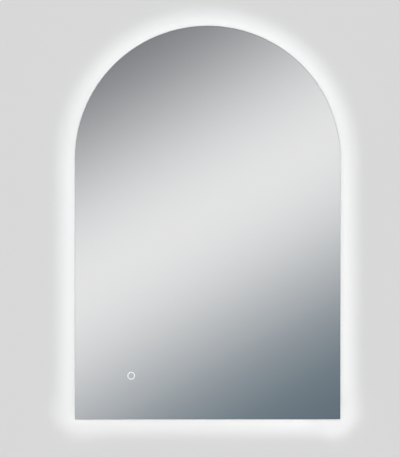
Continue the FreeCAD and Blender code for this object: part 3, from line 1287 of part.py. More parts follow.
def build_sensor():
    """The touch switch behind the etched ring: case, board, lamps, light ring and electrode."""
    x, z = RING_X, "dims.ring_z"
    body = new_body("sensor_case")
    outline = wall_sketch(body, "sensor_outline", SENSOR_BACK, x, z)
    rectangle(outline, "dims.sensor_length", "dims.sensor_height")
    round_corners(body, pad(body, outline, "dims.sensor_depth"), "dims.sensor_corner")
    hollow = wall_sketch(body, "sensor_hollow", SENSOR_FLOOR, x, z)
    rectangle(hollow, "dims.sensor_length - 2 * dims.sensor_wall",
              "dims.sensor_height - 2 * dims.sensor_wall")
    pocket(body, hollow, "dims.sensor_depth - dims.sensor_wall", outward=True)
    hole_radius = "dims.lead_radius + dims.lead_clearance"
    holes = [
        bar("sensor_hole_right", f"{SENSOR_RIGHT} - dims.sensor_wall", z, SENSOR_LEAD_D,
            "dims.sensor_wall", hole_radius),
        bar("sensor_hole_left", SENSOR_LEFT, z, SENSOR_LEAD_D, "dims.sensor_wall", hole_radius),
    ]
    posts = [
        rod(f"sensor_post{i}{j}", f"{RING_X} {a} (dims.sensor_length / 2 - dims.sensor_post_inset)",
            f"dims.ring_z {b} (dims.sensor_height / 2 - dims.sensor_post_inset)", SENSOR_FLOOR,
            SENSOR_BOARD_BACK, "dims.sensor_post_radius")
        for i, a in enumerate("+-") for j, b in enumerate("+-")
    ]
    keep(cut("sensor_case", join("sensor_shell", [body] + posts), holes), "sensor_case")
    margin = "2 * (dims.sensor_wall + dims.board_margin)"
    keep(block("sensor_board", x, z, SENSOR_BOARD_BACK, SENSOR_BOARD_FRONT,
               f"dims.sensor_length - ({margin})", f"dims.sensor_height - ({margin})"),
         "sensor_board")
    lamps = []
    for i in range(4):
        angle = math.radians(45 + 90 * i)
        lamps.append(block(f"sensor_lamp{i}", f"{RING_X} + dims.ring_radius * {math.cos(angle):.6f}",
                           f"dims.ring_z + dims.ring_radius * {math.sin(angle):.6f}",
                           SENSOR_BOARD_FRONT, f"({SENSOR_BOARD_FRONT} + dims.lamp_height)",
                           "dims.lamp_size", "dims.lamp_size"))
    keep(group("sensor_lamps", lamps), "sensor_lamps")
    ring_back = f"({SENSOR_BOARD_FRONT} + dims.lamp_height + dims.lamp_gap)"
    outer = rod("light_ring_solid", x, z, ring_back, COAT_BACK, "dims.light_ring_out")
    inner = rod("light_ring_bore", x, z, ring_back, COAT_BACK, "dims.light_ring_in")
    keep(cut("light_ring", outer, [inner]), "light_ring")
    keep(rod("touch_electrode", x, z, SENSOR_BOARD_FRONT, COAT_BACK, "dims.electrode_radius"),
         "touch_electrode")


# ---------------------------------------------------------------- leads


def lead_path(points):
    """Straight runs joined by tangent arcs, each arc as large as its two runs allow."""
    edges = []
    radii = []
    start = points[0]
    for before, corner, after in zip(points, points[1:], points[2:]):
        back, onward = before - corner, after - corner
        shorter = min(back.Length, onward.Length)
        half_turn = (math.pi - back.getAngle(onward)) / 2
        trim = BEND_SHARE * shorter
        radius = trim / math.tan(half_turn)
        entry = corner + V(back).normalize() * trim
        leave = corner + V(onward).normalize() * trim
        inward = (V(back).normalize() + V(onward).normalize()).normalize()
        crown = corner + inward * (radius / math.cos(half_turn) - radius)
        edges.append(Part.LineSegment(start, entry).toShape())
        edges.append(Part.Arc(entry, crown, leave).toShape())
        radii.append(round(radius, 1))
        start = leave
    edges.append(Part.LineSegment(start, points[-1]).toShape())
    return Part.Wire(edges), radii


def lead(label, points, radius):
    """A lead of that radius along points given as x, z and d."""
    path, radii = lead_path([place(*p) for p in points])
    first = path.Edges[0]
    section = Part.Wire(Part.makeCircle(radius, path.Edges[0].Vertexes[0].Point,
                                        first.tangentAt(first.FirstParameter)))
    tube = path.makePipeShell([section], True, False)
    expected = math.pi * radius ** 2 * path.Length
    print(label, "radii", radii, "length", round(path.Length, 1),
          "volume share", round(tube.Volume / expected, 4))
    return keep(free_shape(label + "_tube", tube), label)


def clip_shape(x, z, d, along, radius):
    """A stick-on clip: a foot on the film and a ring round the lead."""
    width, wall = number("dims.clip_width"), number("dims.clip_wall")
    foot = number("dims.clip_foot")
    centre = place(x, z, d)
    direction = V(along[0], 0, along[1]).normalize()
    start = centre - direction * width / 2
    ring = Part.makeCylinder(radius + wall, width, start, direction)
    hole = Part.makeCylinder(radius + number("dims.grip_gap"), width, start, direction)
    side = V(0, 1, 0).cross(direction)
    corner = place(x, z, number(FILM_BACK)) - direction * width / 2 - side * foot / 2
    base = Part.makeBox(foot, number(FILM_BACK) - d - radius, width)
    turn = FreeCAD.Rotation(side, V(0, 1, 0), direction, "ZXY")
    base.Placement = FreeCAD.Placement(corner, turn)
    return ring.fuse(base).cut(hole).removeSplitter()


def build_leads():
    """The leads between the boxes, and the clip that holds the longest one to the pane."""
    n = number
    thin, mains = n("dims.lead_radius"), n("dims.mains_radius")
    heater, earth = n("dims.heater_radius"), n("dims.earth_radius")
    inside = n("dims.lead_inside")
    gear, ring_z = n("dims.gear_z"), n("dims.ring_z")
    d_driver, d_sensor, d_box = n(DRIVER_LEAD_D), n(SENSOR_LEAD_D), n(BOX_MIDDLE_D)

    left, sensor = n(DRIVER_LEFT), n(SENSOR_RIGHT)
    third = (left - sensor) / 3
    lead("sensor_lead", [
        (left + inside, gear, d_driver), (left - third, gear, d_driver),
        (sensor + third, ring_z, d_sensor), (sensor - inside, ring_z, d_sensor),
    ], thin)

    web, web_z, web_d = n(f"{WEB_IN} - {HALF}"), n(LEAD_Z), n(LEAD_WEB_D)
    switch = n(SENSOR_LEFT)
    third = (switch - web) / 3
    lead("light_lead", [
        (switch + inside, ring_z, d_sensor), (switch - third, ring_z, d_sensor),
        (web + third, web_z, web_d), (web - inside, web_z, web_d),
    ], thin)

    right, box = n(DRIVER_RIGHT), n(BOX_LEFT)
    third = (box - right) / 3
    lead("mains_lead", [
        (box + inside, n(MAINS_OUT_Z), d_box), (box - third, n(MAINS_OUT_Z), d_box),
        (right + third, n(MAINS_IN_Z), d_driver), (right - inside, n(MAINS_IN_Z), d_driver),
    ], mains)

    side_x, top, bottom = n(SIDE_LEAD_X), n(BOX_TOP), n(BOX_BOTTOM)
    cap_side, cap_z = n("dims.cap_width / 2"), n(CAP_Z)
    cap_d = n(f"{TRACK_BACK} - dims.cap_depth / 2")
    low_d = n(f"{FILM_BACK} - dims.heater_radius - dims.clip_wall")
    rise_from, rise_to = (side_x - 4, top + 36), (side_x - 30, cap_z - 32)
    lead("demister_lead", [
        (side_x, top - inside, d_box), (side_x, top + 16, d_box), (*rise_from, low_d),
        (*rise_to, low_d), (cap_side + 22, cap_z, cap_d), (cap_side, cap_z, cap_d),
    ], heater)

    pole, tag_end = n(pole_x(0)), n(f"{TAG_X} + dims.tag_radius + dims.tag_barrel")
    way_d = n(WAY_BACK) + earth + n("dims.lead_clearance")
    tag_d = n(f"{FRAME_BACK} + dims.frame_wall + dims.earth_radius + dims.crimp_wall")
    lip_z, block_foot = n(LIP_MIDDLE), n(f"{BLOCK_Z} - dims.block_height / 2")
    lead("earth_lead", [
        (pole, block_foot + inside, way_d), (pole, block_foot - 7, way_d),
        (side_x, bottom + 8, d_box), (side_x, bottom - 12, d_box),
        (side_x - 5, lip_z + 5, tag_d + 4), (side_x - 16, lip_z, tag_d), (tag_end, lip_z, tag_d),
    ], earth)

    middle = [(a + b) / 2 for a, b in zip(rise_from, rise_to)]
    along = [b - a for a, b in zip(rise_from, rise_to)]
    keep(free_shape("clips", clip_shape(*middle, low_d, along, heater)), "lead_clip")


def core_shape(points):
    """One core of a lead."""
    radius = number("dims.core_radius")
    path, _ = lead_path([place(*p) for p in points])
    first = path.Edges[0]
    ring = Part.makeCircle(radius, first.Vertexes[0].Point, first.tangentAt(first.FirstParameter))
    return path.makePipeShell([Part.Wire(ring)], True, False)


def build_cores():
    """The cores that run on from the leads to the terminals and to the light tape."""
    n = number
    core, gap, inside = n("dims.core_radius"), n("dims.core_spacing"), n("dims.lead_inside")
    d_box = n(BOX_MIDDLE_D)
    foot, head = (n(f"{BLOCK_Z} {s} dims.block_height / 2") for s in "-+")
    way_d = n(WAY_FRONT) - core
    cores = []
    start = n(BOX_LEFT) + inside
    for i in range(3):
        z = n(MAINS_OUT_Z) + gap * (1 - i)
        level = foot - 3.5 - 2.5 * i
        cores.append(core_shape([
            (start, z, d_box), (start + 3, z, d_box), (start + 8, level, way_d),
            (n(pole_x(i)), level, way_d), (n(pole_x(i)), foot + inside, way_d),
        ]))
    for i in range(2):
        x, d, top = n(SIDE_LEAD_X), d_box + gap * (0.5 - i), n(BOX_TOP) - inside
        pole = n(pole_x(i + 1))
        cores.append(core_shape([
            (x, top, d), (x, top - 2, d), (pole, head + 4, way_d), (pole, head - inside, way_d),
        ]))
    web, web_d, tape = n(f"{WEB_IN} - {HALF}"), n(LEAD_WEB_D), n(f"{TAPE_OUT} - {HALF}")
    pad_d = n(f"{TAPE_BACK} + dims.tape_width") - core
    for i in range(2):
        z = n(LEAD_Z) + gap * (i - 0.5)
        cores.append(core_shape([
            (web - inside, z, web_d), (web - inside - 1.5, z, web_d),
            (web - inside - 3.5, z, web_d - 2.5), (tape - core, z, pad_d),
        ]))
    keep(free_shape("cores", Part.makeCompound(cores)), "core_wires")


def build_bushings():
    """A rubber bushing on the outside of each wall that a lead passes."""
    def across(name, face, side, z, d, lead_size):
        start = face if side > 0 else f"({face} - dims.bushing_thk)"
        ring = bar(name + "_ring", start, z, d, "dims.bushing_thk", bushing_radius(lead_size))
        bore = bar(name + "_bore", start, z, d, "dims.bushing_thk",
                   f"{lead_size} + dims.grip_gap")
        return cut(name, ring, [bore])

    def upright(name, face, side, lead_size):
        start = face if side > 0 else f"({face} - dims.bushing_thk)"
        ring = upright_bar(name + "_ring", SIDE_LEAD_X, start, BOX_MIDDLE_D, "dims.bushing_thk",
                           bushing_radius(lead_size))
        bore = upright_bar(name + "_bore", SIDE_LEAD_X, start, BOX_MIDDLE_D, "dims.bushing_thk",
                           f"{lead_size} + dims.grip_gap")
        return cut(name, ring, [bore])

    thin, mains = "dims.lead_radius", "dims.mains_radius"
    rings = [
        across("bushing_driver_out", DRIVER_LEFT, -1, "dims.gear_z", DRIVER_LEAD_D, thin),
        across("bushing_driver_in", DRIVER_RIGHT, 1, MAINS_IN_Z, DRIVER_LEAD_D, mains),
        across("bushing_box_out", BOX_LEFT, -1, MAINS_OUT_Z, BOX_MIDDLE_D, mains),
        across("bushing_web", f"(-({HALF} - {WEB_IN}))", 1, LEAD_Z, LEAD_WEB_D, thin),
        upright("bushing_heater", BOX_TOP, 1, "dims.heater_radius"),
        upright("bushing_earth", BOX_BOTTOM, -1, "dims.earth_radius"),
    ]
    keep(group("lead_bushings", rings), "lead_bushings")


def build_earth_point():
    """Where the earth wire meets the metal frame: tag, screw and nut on the sill's rear lip."""
    near = f"({FRAME_BACK} + dims.frame_wall)"
    far = f"({near} + dims.tag_thk)"
    x, z = TAG_X, LIP_MIDDLE
    disc = rod("tag_disc", x, z, near, far, "dims.tag_radius")
    eye = screw_hole("tag_eye", x, z, near, far)
    neck = f"({TAG_X} + dims.tag_radius)"
    tongue = block("tag_tongue", neck, z, near, far, "dims.tag_radius", "dims.tag_radius")
    barrel_d = f"({near} + dims.earth_radius + dims.crimp_wall)"
    barrel = bar("tag_crimp", neck, z, barrel_d, "dims.tag_barrel",
                 "dims.earth_radius + dims.crimp_wall")
    keep(cut("earth_tag", join("tag_solid", [disc, tongue, barrel]), [eye]), "earth_tag")
    keep(frame_screw("earth_screw", x, z, FRAME_BACK), "earth_screw")
    nut = doc.addObject("Part::Prism", "earth_nut_hex")
    nut.Polygon = 6
    nut.Placement.Rotation = FreeCAD.Rotation(V(1, 0, 0), 90)
    bind(nut, Circumradius="dims.nut_flats / sqrt(3)", Height="dims.nut_thk", X=x, Y=f"-({far})",
         Z=f"{z} - {RAIL_RISE}")
    bore = screw_hole("earth_nut_bore", x, z, far, f"({far} + dims.nut_thk)")
    keep(cut("earth_nut", nut, [bore]), "earth_nut")


# ---------------------------------------------------------------- build, test and write


def check_and_write():
    """Stops on any failed feature or bad solid, and then writes every piece."""
    doc.recompute()
    failed = [o.Name for o in doc.Objects if {"Invalid", "Error"} & set(o.State)]
    if failed:
        raise RuntimeError(f"these features failed: {failed}")
    for piece in nodes:
        if piece.Shape.isNull() or not piece.Shape.isValid() or not piece.Shape.Solids:
            raise RuntimeError(f"{piece.Label} has no valid solid")
    os.makedirs(OUT_FOLDER, exist_ok=True)
    for piece in nodes:
        piece.Shape.exportStep(os.path.join(OUT_FOLDER, piece.Label + ".step"))
    print(len(nodes), "pieces written")


build_glass()
build_silver()
build_film()
build_frame()
build_diffusers()
build_bond_tape()
build_light_tape()
build_brackets()
build_bumpers()
build_rail()
build_hanger()
build_demister()
build_plate()
build_driver()
build_driver_inside()
build_box()
build_lid()
build_terminals()
build_gland()
build_sensor()
build_leads()
build_cores()
build_bushings()
build_earth_point()
check_and_write()
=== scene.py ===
"""Looks of a lit arched mirror: the finish of every piece, its wires, covers, nuts and bumpers in full
detail, and a pale studio with the photograph's camera.

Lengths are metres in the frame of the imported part: X runs to the right, Y into the wall and Z up, and
the origin lies between the two screw slots of the wall rail.
"""

import logging
import math
from dataclasses import dataclass
from enum import Enum
from typing import Any, Callable, Iterable, Mapping, Sequence

import bmesh
import bpy
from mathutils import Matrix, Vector


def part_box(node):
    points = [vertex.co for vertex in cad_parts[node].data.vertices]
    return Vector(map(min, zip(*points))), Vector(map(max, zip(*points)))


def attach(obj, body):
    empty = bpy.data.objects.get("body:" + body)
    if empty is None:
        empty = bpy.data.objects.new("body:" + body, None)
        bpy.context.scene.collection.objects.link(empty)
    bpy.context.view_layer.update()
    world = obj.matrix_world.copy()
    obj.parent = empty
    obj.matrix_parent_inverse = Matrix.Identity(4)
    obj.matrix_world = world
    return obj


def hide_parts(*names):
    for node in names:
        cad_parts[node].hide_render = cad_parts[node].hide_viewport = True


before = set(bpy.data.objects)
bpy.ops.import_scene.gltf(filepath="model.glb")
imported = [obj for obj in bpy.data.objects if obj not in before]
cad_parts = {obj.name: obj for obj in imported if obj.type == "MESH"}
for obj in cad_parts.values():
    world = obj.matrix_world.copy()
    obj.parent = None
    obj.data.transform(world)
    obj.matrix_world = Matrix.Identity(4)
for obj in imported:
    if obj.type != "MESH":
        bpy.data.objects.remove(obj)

LOG = logging.getLogger("mirror")

MM = 0.001
ON_FACE = 0.01 * MM

# The photograph's frame, and the pane's edges in it as fitted by laying the render over it, in pixels.
PHOTO_WIDTH_PX = 400
PHOTO_HEIGHT_PX = 457
PANE_LEFT_PX = 74.66
PANE_RIGHT_PX = 340.67
PANE_TOP_PX = 25.61
PANE_BOTTOM_PX = 419.56

Colour = tuple[float, float, float]
Place = tuple[float, float, float]
Socket = bpy.types.NodeSocket
Object = bpy.types.Object


class Body(Enum):
    """The bodies that pieces ride on."""

    MIRROR = "mirror"
    LID = "lid"


class Axis(Enum):
    """An axis of the part, with the turn that lays a cylinder's own Z along it."""

    ALONG_X = (0.0, math.pi / 2, 0.0)
    OUT_OF_WALL = (math.pi / 2, 0.0, 0.0)


def scaled(colour: Colour, share: float) -> Colour:
    """The colour made brighter or darker by that share, kept under full white."""
    return tuple(min(1.0, channel * share) for channel in colour)


# ---------------------------------------------------------------- node graphs


class Layers(Enum):
    """How many finer layers a noise has, and how strong they are."""

    SOFT = (2.0, 0.5)
    EVEN = (3.0, 0.5)
    PLAIN = (3.0, 0.6)
    CLOUDY = (4.0, 0.6)
    SCRATCHY = (4.0, 0.7)
    CRUMPLED = (5.0, 0.65)


class Graph:
    """A node tree, with short calls for the nodes that the finishes use."""

    noise_range: tuple[float, float] = (0.3, 0.7)
    flat_edge: float = 0.995
    sharp_edge: float = 0.86

    def __init__(self, tree: bpy.types.NodeTree) -> None:
        """Takes over a tree.

        Args:
            tree: The node tree of a material or of the world.
        """
        self.tree = tree

    def node(self, kind: str, inputs: Mapping[Any, Any] | None = None, **settings: Any) -> Any:
        """Adds a node.

        Args:
            kind: The node's type, without its ShaderNode prefix.
            inputs: What goes into its inputs, by name or number: a socket or a plain value.
            settings: The node's own settings.

        Returns:
            The node.
        """
        made = self.tree.nodes.new("ShaderNode" + kind)
        for name, value in settings.items():
            setattr(made, name, value)
        for key, value in (inputs or {}).items():
            if isinstance(value, bpy.types.NodeSocket):
                self.tree.links.new(value, made.inputs[key])
            elif value is not None:
                made.inputs[key].default_value = value
        return made

    def link(self, source: Socket, target: Socket) -> None:
        """Joins two sockets."""
        self.tree.links.new(source, target)

    def math(self, operation: str, a: Any, b: Any = None, c: Any = None) -> Socket:
        """The result of one step of arithmetic on numbers or sockets."""
        return self.node("Math", {0: a, 1: b, 2: c}, operation=operation).outputs[0]

    def object_place(self) -> Socket:
        """The place on the piece, in metres."""
        return self.node("TexCoord").outputs["Object"]

    def split(self, vector: Socket) -> tuple[Socket, Socket, Socket]:
        """A vector's three numbers."""
        parts = self.node("SeparateXYZ", {0: vector}).outputs
        return parts[0], parts[1], parts[2]

    def stretched(self, vector: Socket, x: float, y: float, z: float) -> Socket:
        """The vector with each of its numbers multiplied."""
        return self.node("Mapping", {"Vector": vector, "Scale": (x, y, z)}).outputs[0]

    def noise(self, vector: Socket, size: float, layers: Layers) -> Socket:
        """Cloudy noise from 0 to 1.

        Args:
            vector: Where it is read.
            size: The size of its clouds, in metres.
            layers: Its finer layers.

        Returns:
            The noise.
        """
        detail, rough = layers.value
        made = self.node(
            "TexNoise", {"Vector": vector, "Scale": 1 / size, "Detail": detail, "Roughness": rough}
        )
        return made.outputs[0]

    def cells(self, vector: Socket, size: float, feature: str = "F1") -> Any:
        """A Voronoi texture whose cells have that size in metres."""
        return self.node("TexVoronoi", {"Vector": vector, "Scale": 1 / size}, feature=feature)

    def remap(self, value: Any, low: float, high: float, to_low: float, to_high: float) -> Socket:
        """Maps a range of numbers to another, smoothly at both ends.

        Args:
            value: The number.
            low: Where its range starts.
            high: Where its range ends.
            to_low: What the start becomes.
            to_high: What the end becomes.

        Returns:
            The mapped number.
        """
        made = self.node(
            "MapRange",
            {0: value, 1: low, 2: high, 3: to_low, 4: to_high},
            interpolation_type="SMOOTHSTEP",
        )
        return made.outputs[0]

    def spread(self, noise: Socket, low: float, high: float) -> Socket:
        """A noise with its usual range drawn out to run from low to high."""
        return self.remap(noise, *self.noise_range, low, high)

    def mix(self, factor: Any, a: Any, b: Any) -> Socket:
        """Mixes two colours.

        Args:
            factor: How much of the second colour goes in.
            a: The first colour.
            b: The second colour.

        Returns:
            The mixed colour.
        """
        made = self.node("Mix", data_type="RGBA")
        for index, value in ((0, factor), (6, a), (7, b)):
            if isinstance(value, bpy.types.NodeSocket):
                self.link(value, made.inputs[index])
            else:
                made.inputs[index].default_value = (*value, 1.0) if index else value
        return made.outputs[2]

    def blend(self, factor: Socket, first: Socket, second: Socket) -> Socket:
        """Mixes two shaders."""
        return self.node("MixShader", {0: factor, 1: first, 2: second}).outputs[0]

    def backfacing(self) -> Socket:
        """1 where a face is seen from inside its solid."""
        return self.node("NewGeometry").outputs["Backfacing"]

    def facing_wall(self) -> Socket:
        """How squarely a face looks at the wall: 1 straight at it, -1 straight away from it."""
        return self.split(self.node("NewGeometry").outputs["True Normal"])[1]

    def clear(self) -> Socket:
        """A shader that lets everything through."""
        return self.node("BsdfTransparent").outputs[0]

    def surface(self, shader: Socket) -> None:
        """Puts a shader on the material's output."""
        self.link(shader, self.tree.nodes["Material Output"].inputs["Surface"])

    def shades(self, factor: Socket, colour: Colour, spread: float) -> Socket:
        """The colour a little darker where the factor is 0 and a little lighter where it is 1."""
        return self.mix(factor, scaled(colour, 1 - spread), scaled(colour, 1 + spread))

    def bump(self, height: Socket, depth: float, normal: Socket | None = None) -> Socket:
        """A normal bent by a height.

        Args:
            height: The height, from 0 to 1.
            depth: What 1 stands for, in metres.
            normal: The normal that it bends, if it isn't the surface's own.

        Returns:
            The bent normal.
        """
        inputs = {"Height": height, "Distance": depth, "Strength": 1.0, "Normal": normal}
        return self.node("Bump", inputs).outputs[0]

    def soft_edges(self, radius: float) -> tuple[Socket, Socket]:
        """A normal that rounds sharp edges.

        Args:
            radius: The rounding's radius, in metres.

        Returns:
            The rounded normal, and a number that is 1 on an edge and 0 away from it.
        """
        rounded = self.node("Bevel", {"Radius": radius}, samples=6).outputs[0]
        own = self.node("NewGeometry").outputs["Normal"]
        along = self.node("VectorMath", {0: rounded, 1: own}, operation="DOT_PRODUCT").outputs["Value"]
        return rounded, self.remap(along, self.flat_edge, self.sharp_edge, 0.0, 1.0)


def new_material(name: str) -> tuple[bpy.types.Material, Graph]:
    """A new material and its node graph.

    Args:
        name: Its name.

    Returns:
        The material and its nodes.
    """
    material = bpy.data.materials.new(name)
    material.use_nodes = True
    return material, Graph(material.node_tree)


@dataclass(frozen=True)
class Finish:
    """A surface finish; a subclass draws it in nodes."""

    name: str

    def make(self) -> bpy.types.Material:
        """Makes the material.

        Returns:
            The material.
        """
        material, graph = new_material(self.name)
        self.draw(graph, graph.tree.nodes["Principled BSDF"])
        return material

    def draw(self, graph: Graph, shader: Any) -> None:
        """Draws the finish on the material's main shader.

        Args:
            graph: The material's nodes.
            shader: Its Principled shader.
        """
        raise NotImplementedError


def set_plain(shader: Any, **values: Any) -> None:
    """Sets sockets that are the same all over; an underscore in a name stands for a space."""
    for name, value in values.items():
        shader.inputs[name.replace("_", " ")].default_value = value


@dataclass(frozen=True)
class Moulding(Finish):
    """Moulded plastic or rubber: spark-eroded grain, faint clouds of tone and softly rounded edges."""

    colour: Colour = (0.8, 0.8, 0.8)
    roughness: float = 0.45
    grain: float = 0.35 * MM
    grain_depth: float = 0.012 * MM
    edge: float = 0.5 * MM
    mottle: float = 0.04
    glow: float = 0.0
    glow_reach: float = 2 * MM
    cloud: float = 28 * MM
    smear: float = 9 * MM
    smear_stretch: float = 0.3
    worn_share: float = 0.35
    worn_bright: float = 1.18

    def draw(self, graph: Graph, shader: Any) -> None:
        """Draws grain, tone and edges.

        Args:
            graph: The material's nodes.
            shader: Its Principled shader.
        """
        place = graph.object_place()
        clouds = graph.noise(place, self.cloud, Layers.CLOUDY)
        grain = graph.noise(place, self.grain, Layers.SOFT)
        rounded, edge = graph.soft_edges(self.edge)
        toned = graph.shades(clouds, self.colour, self.mottle)
        worn = graph.math("MULTIPLY", edge, self.worn_share)
        handled = graph.mix(worn, toned, scaled(self.colour, self.worn_bright))
        graph.link(handled, shader.inputs["Base Color"])
        smear = graph.noise(graph.stretched(place, 1.0, 1.0, self.smear_stretch), self.smear,
                            Layers.PLAIN)
        rough = graph.remap(smear, 0.3, 0.75, self.roughness - 0.07, self.roughness + 0.08)
        graph.link(rough, shader.inputs["Roughness"])
        graph.link(graph.bump(grain, self.grain_depth, rounded), shader.inputs["Normal"])
        if self.glow:
            set_plain(shader, Subsurface_Weight=self.glow, Subsurface_Scale=self.glow_reach)


@dataclass(frozen=True)
class ZincSheet(Finish):
    """Zinc-plated steel sheet: faint crystal spangle, rolling lines along X, brighter sheared edges."""

    colour: Colour = (0.66, 0.68, 0.70)
    spangle: float = 7 * MM
    edge: float = 0.35 * MM
    roughness: float = 0.34
    line: float = 0.7 * MM
    line_stretch: float = 0.04
    line_depth: float = 0.006 * MM
    stain: float = 45 * MM
    stain_share: float = 0.35
    stain_dark: float = 0.72
    edge_bright: float = 1.25

    def draw(self, graph: Graph, shader: Any) -> None:
        """Draws spangle, rolling lines and edges.

        Args:
            graph: The material's nodes.
            shader: Its Principled shader.
        """
        place = graph.object_place()
        crystals = graph.cells(place, self.spangle)
        tone = graph.split(crystals.outputs["Color"])[0]
        lines = graph.noise(graph.stretched(place, self.line_stretch, 1.0, 1.0), self.line,
                            Layers.PLAIN)
        stains = graph.noise(place, self.stain, Layers.CRUMPLED)
        rounded, edge = graph.soft_edges(self.edge)
        base = graph.shades(tone, self.colour, 0.07)
        stained = graph.remap(stains, 0.52, 0.72, 0.0, self.stain_share)
        base = graph.mix(stained, base, scaled(self.colour, self.stain_dark))
        base = graph.mix(edge, base, scaled(self.colour, self.edge_bright))
        graph.link(base, shader.inputs["Base Color"])
        set_plain(shader, Metallic=1.0)
        rough = graph.remap(tone, 0.0, 1.0, self.roughness - 0.08, self.roughness + 0.08)
        rough = graph.math("ADD", rough, graph.math("MULTIPLY", lines, 0.10))
        graph.link(rough, shader.inputs["Roughness"])
        graph.link(graph.bump(lines, self.line_depth, rounded), shader.inputs["Normal"])


@dataclass(frozen=True)
class SmallMetal(Finish):
    """Turned or stamped metal of small parts: fine scratches, painted shade darkening its recesses,
    bright edges.
    """

    colour: Colour = (0.62, 0.63, 0.65)
    roughness: float = 0.26
    edge: float = 0.18 * MM
    edge_bright: float = 1.3
    scratch: float = 0.35 * MM
    scratch_stretch: float = 6.0
    scratch_depth: float = 0.004 * MM
    patina: float = 4 * MM
    recess: float = 1.2 * MM
    # How strongly painted shade darkens the recesses, and the darker colour that it paints there.
    painted_shade_share: float = 0.55
    painted_shade_dark: float = 0.4

    def draw(self, graph: Graph, shader: Any) -> None:
        """Draws scratches, painted shade in the recesses, and edges.

        Args:
            graph: The material's nodes.
            shader: Its Principled shader.
        """
        place = graph.object_place()
        scratches = graph.noise(graph.stretched(place, 1.0, 1.0, self.scratch_stretch), self.scratch,
                                Layers.SCRATCHY)
        patina = graph.noise(place, self.patina, Layers.PLAIN)
        rounded, edge = graph.soft_edges(self.edge)
        # Painted shade: ambient occlusion darkens the colour in the recesses, where shade falls.
        shade = graph.node("AmbientOcclusion", {"Distance": self.recess}, samples=4).outputs["AO"]
        sunk = graph.remap(shade, 0.35, 0.9, self.painted_shade_share, 0.0)
        base = graph.shades(patina, self.colour, 0.08)
        base = graph.mix(sunk, base, scaled(self.colour, self.painted_shade_dark))
        base = graph.mix(edge, base, scaled(self.colour, self.edge_bright))
        graph.link(base, shader.inputs["Base Color"])
        set_plain(shader, Metallic=1.0)
        rough = graph.spread(scratches, self.roughness - 0.08, self.roughness + 0.1)
        graph.link(rough, shader.inputs["Roughness"])
        graph.link(graph.bump(scratches, self.scratch_depth, rounded), shader.inputs["Normal"])


@dataclass(frozen=True)
class DrawnAluminium(Finish):
    """Satin anodised section: fine drawing lines that run along the frame, round its arch too."""

    colour: Colour = (0.74, 0.75, 0.77)
    roughness: float = 0.36
    spring: float = 0.0
    line: float = 0.5 * MM
    line_stretch: float = 0.02
    line_depth: float = 0.005 * MM
    cloud: float = 60 * MM
    cloud_share: float = 0.25
    cloud_dark: float = 0.85
    edge: float = 0.3 * MM
    edge_bright: float = 1.2

    def draw(self, graph: Graph, shader: Any) -> None:
        """Draws the lines by the distance from the arch's centre, or from the middle lower down.

        Args:
            graph: The material's nodes.
            shader: Its Principled shader.
        """
        place = graph.object_place()
        across, depth, height = graph.split(place)
        over = graph.math("MAXIMUM", graph.math("SUBTRACT", height, self.spring), 0.0)
        around = graph.math("SQRT", graph.math(
            "ADD", graph.math("POWER", across, 2.0), graph.math("POWER", over, 2.0)))
        along = graph.math("MULTIPLY", height, self.line_stretch)
        track = graph.node("CombineXYZ", {0: around, 1: depth, 2: along}).outputs[0]
        lines = graph.noise(track, self.line, Layers.SCRATCHY)
        clouds = graph.noise(place, self.cloud, Layers.CLOUDY)
        rounded, edge = graph.soft_edges(self.edge)
        base = graph.shades(lines, self.colour, 0.05)
        clouded = graph.math("MULTIPLY", clouds, self.cloud_share)
        base = graph.mix(clouded, base, scaled(self.colour, self.cloud_dark))
        base = graph.mix(edge, base, scaled(self.colour, self.edge_bright))
        graph.link(base, shader.inputs["Base Color"])
        set_plain(shader, Metallic=1.0, Anisotropic=0.35)
        rough = graph.spread(lines, self.roughness - 0.06, self.roughness + 0.08)
        graph.link(rough, shader.inputs["Roughness"])
        graph.link(graph.bump(lines, self.line_depth, rounded), shader.inputs["Normal"])


@dataclass(frozen=True)
class FloatGlass(Finish):
    """Clear float glass: a breath of haze, faint green along a long path and finely ground edges."""

    clear_colour: Colour = (0.992, 0.997, 0.995)
    ground_colour: Colour = (0.84, 0.90, 0.88)
    ground_share: float = 0.85
    ground_roughness: float = 0.35
    ground_grain: float = 0.5 * MM
    haze: float = 90 * MM
    haze_most: float = 0.012
    face_turn: float = 0.9
    edge_green: Colour = (0.62, 0.93, 0.80)
    green_density: float = 3.0
    refraction: float = 1.52

    def draw(self, graph: Graph, shader: Any) -> None:
        """Draws the haze and the ground edges and fills the pane with its faint green.

        Args:
            graph: The material's nodes.
            shader: Its Principled shader.
        """
        place = graph.object_place()
        haze = graph.remap(graph.noise(place, self.haze, Layers.CLOUDY), 0.45, 0.8, 0.0, self.haze_most)
        edge = graph.math("LESS_THAN", graph.math("ABSOLUTE", graph.facing_wall()), self.face_turn)
        grain = graph.noise(place, self.ground_grain, Layers.SOFT)
        ground = graph.shades(grain, self.ground_colour, 0.06)
        graph.link(graph.mix(edge, self.clear_colour, ground), shader.inputs["Base Color"])
        rough = graph.math("MULTIPLY_ADD", edge, self.ground_roughness, haze)
        graph.link(rough, shader.inputs["Roughness"])
        clear = graph.math("MULTIPLY_ADD", edge, -self.ground_share, 1.0)
        graph.link(clear, shader.inputs["Transmission Weight"])
        set_plain(shader, IOR=self.refraction)
        filling = graph.node(
            "VolumeAbsorption", {"Color": (*self.edge_green, 1.0), "Density": self.green_density}
        )
        graph.link(filling.outputs[0], graph.tree.nodes["Material Output"].inputs["Volume"])


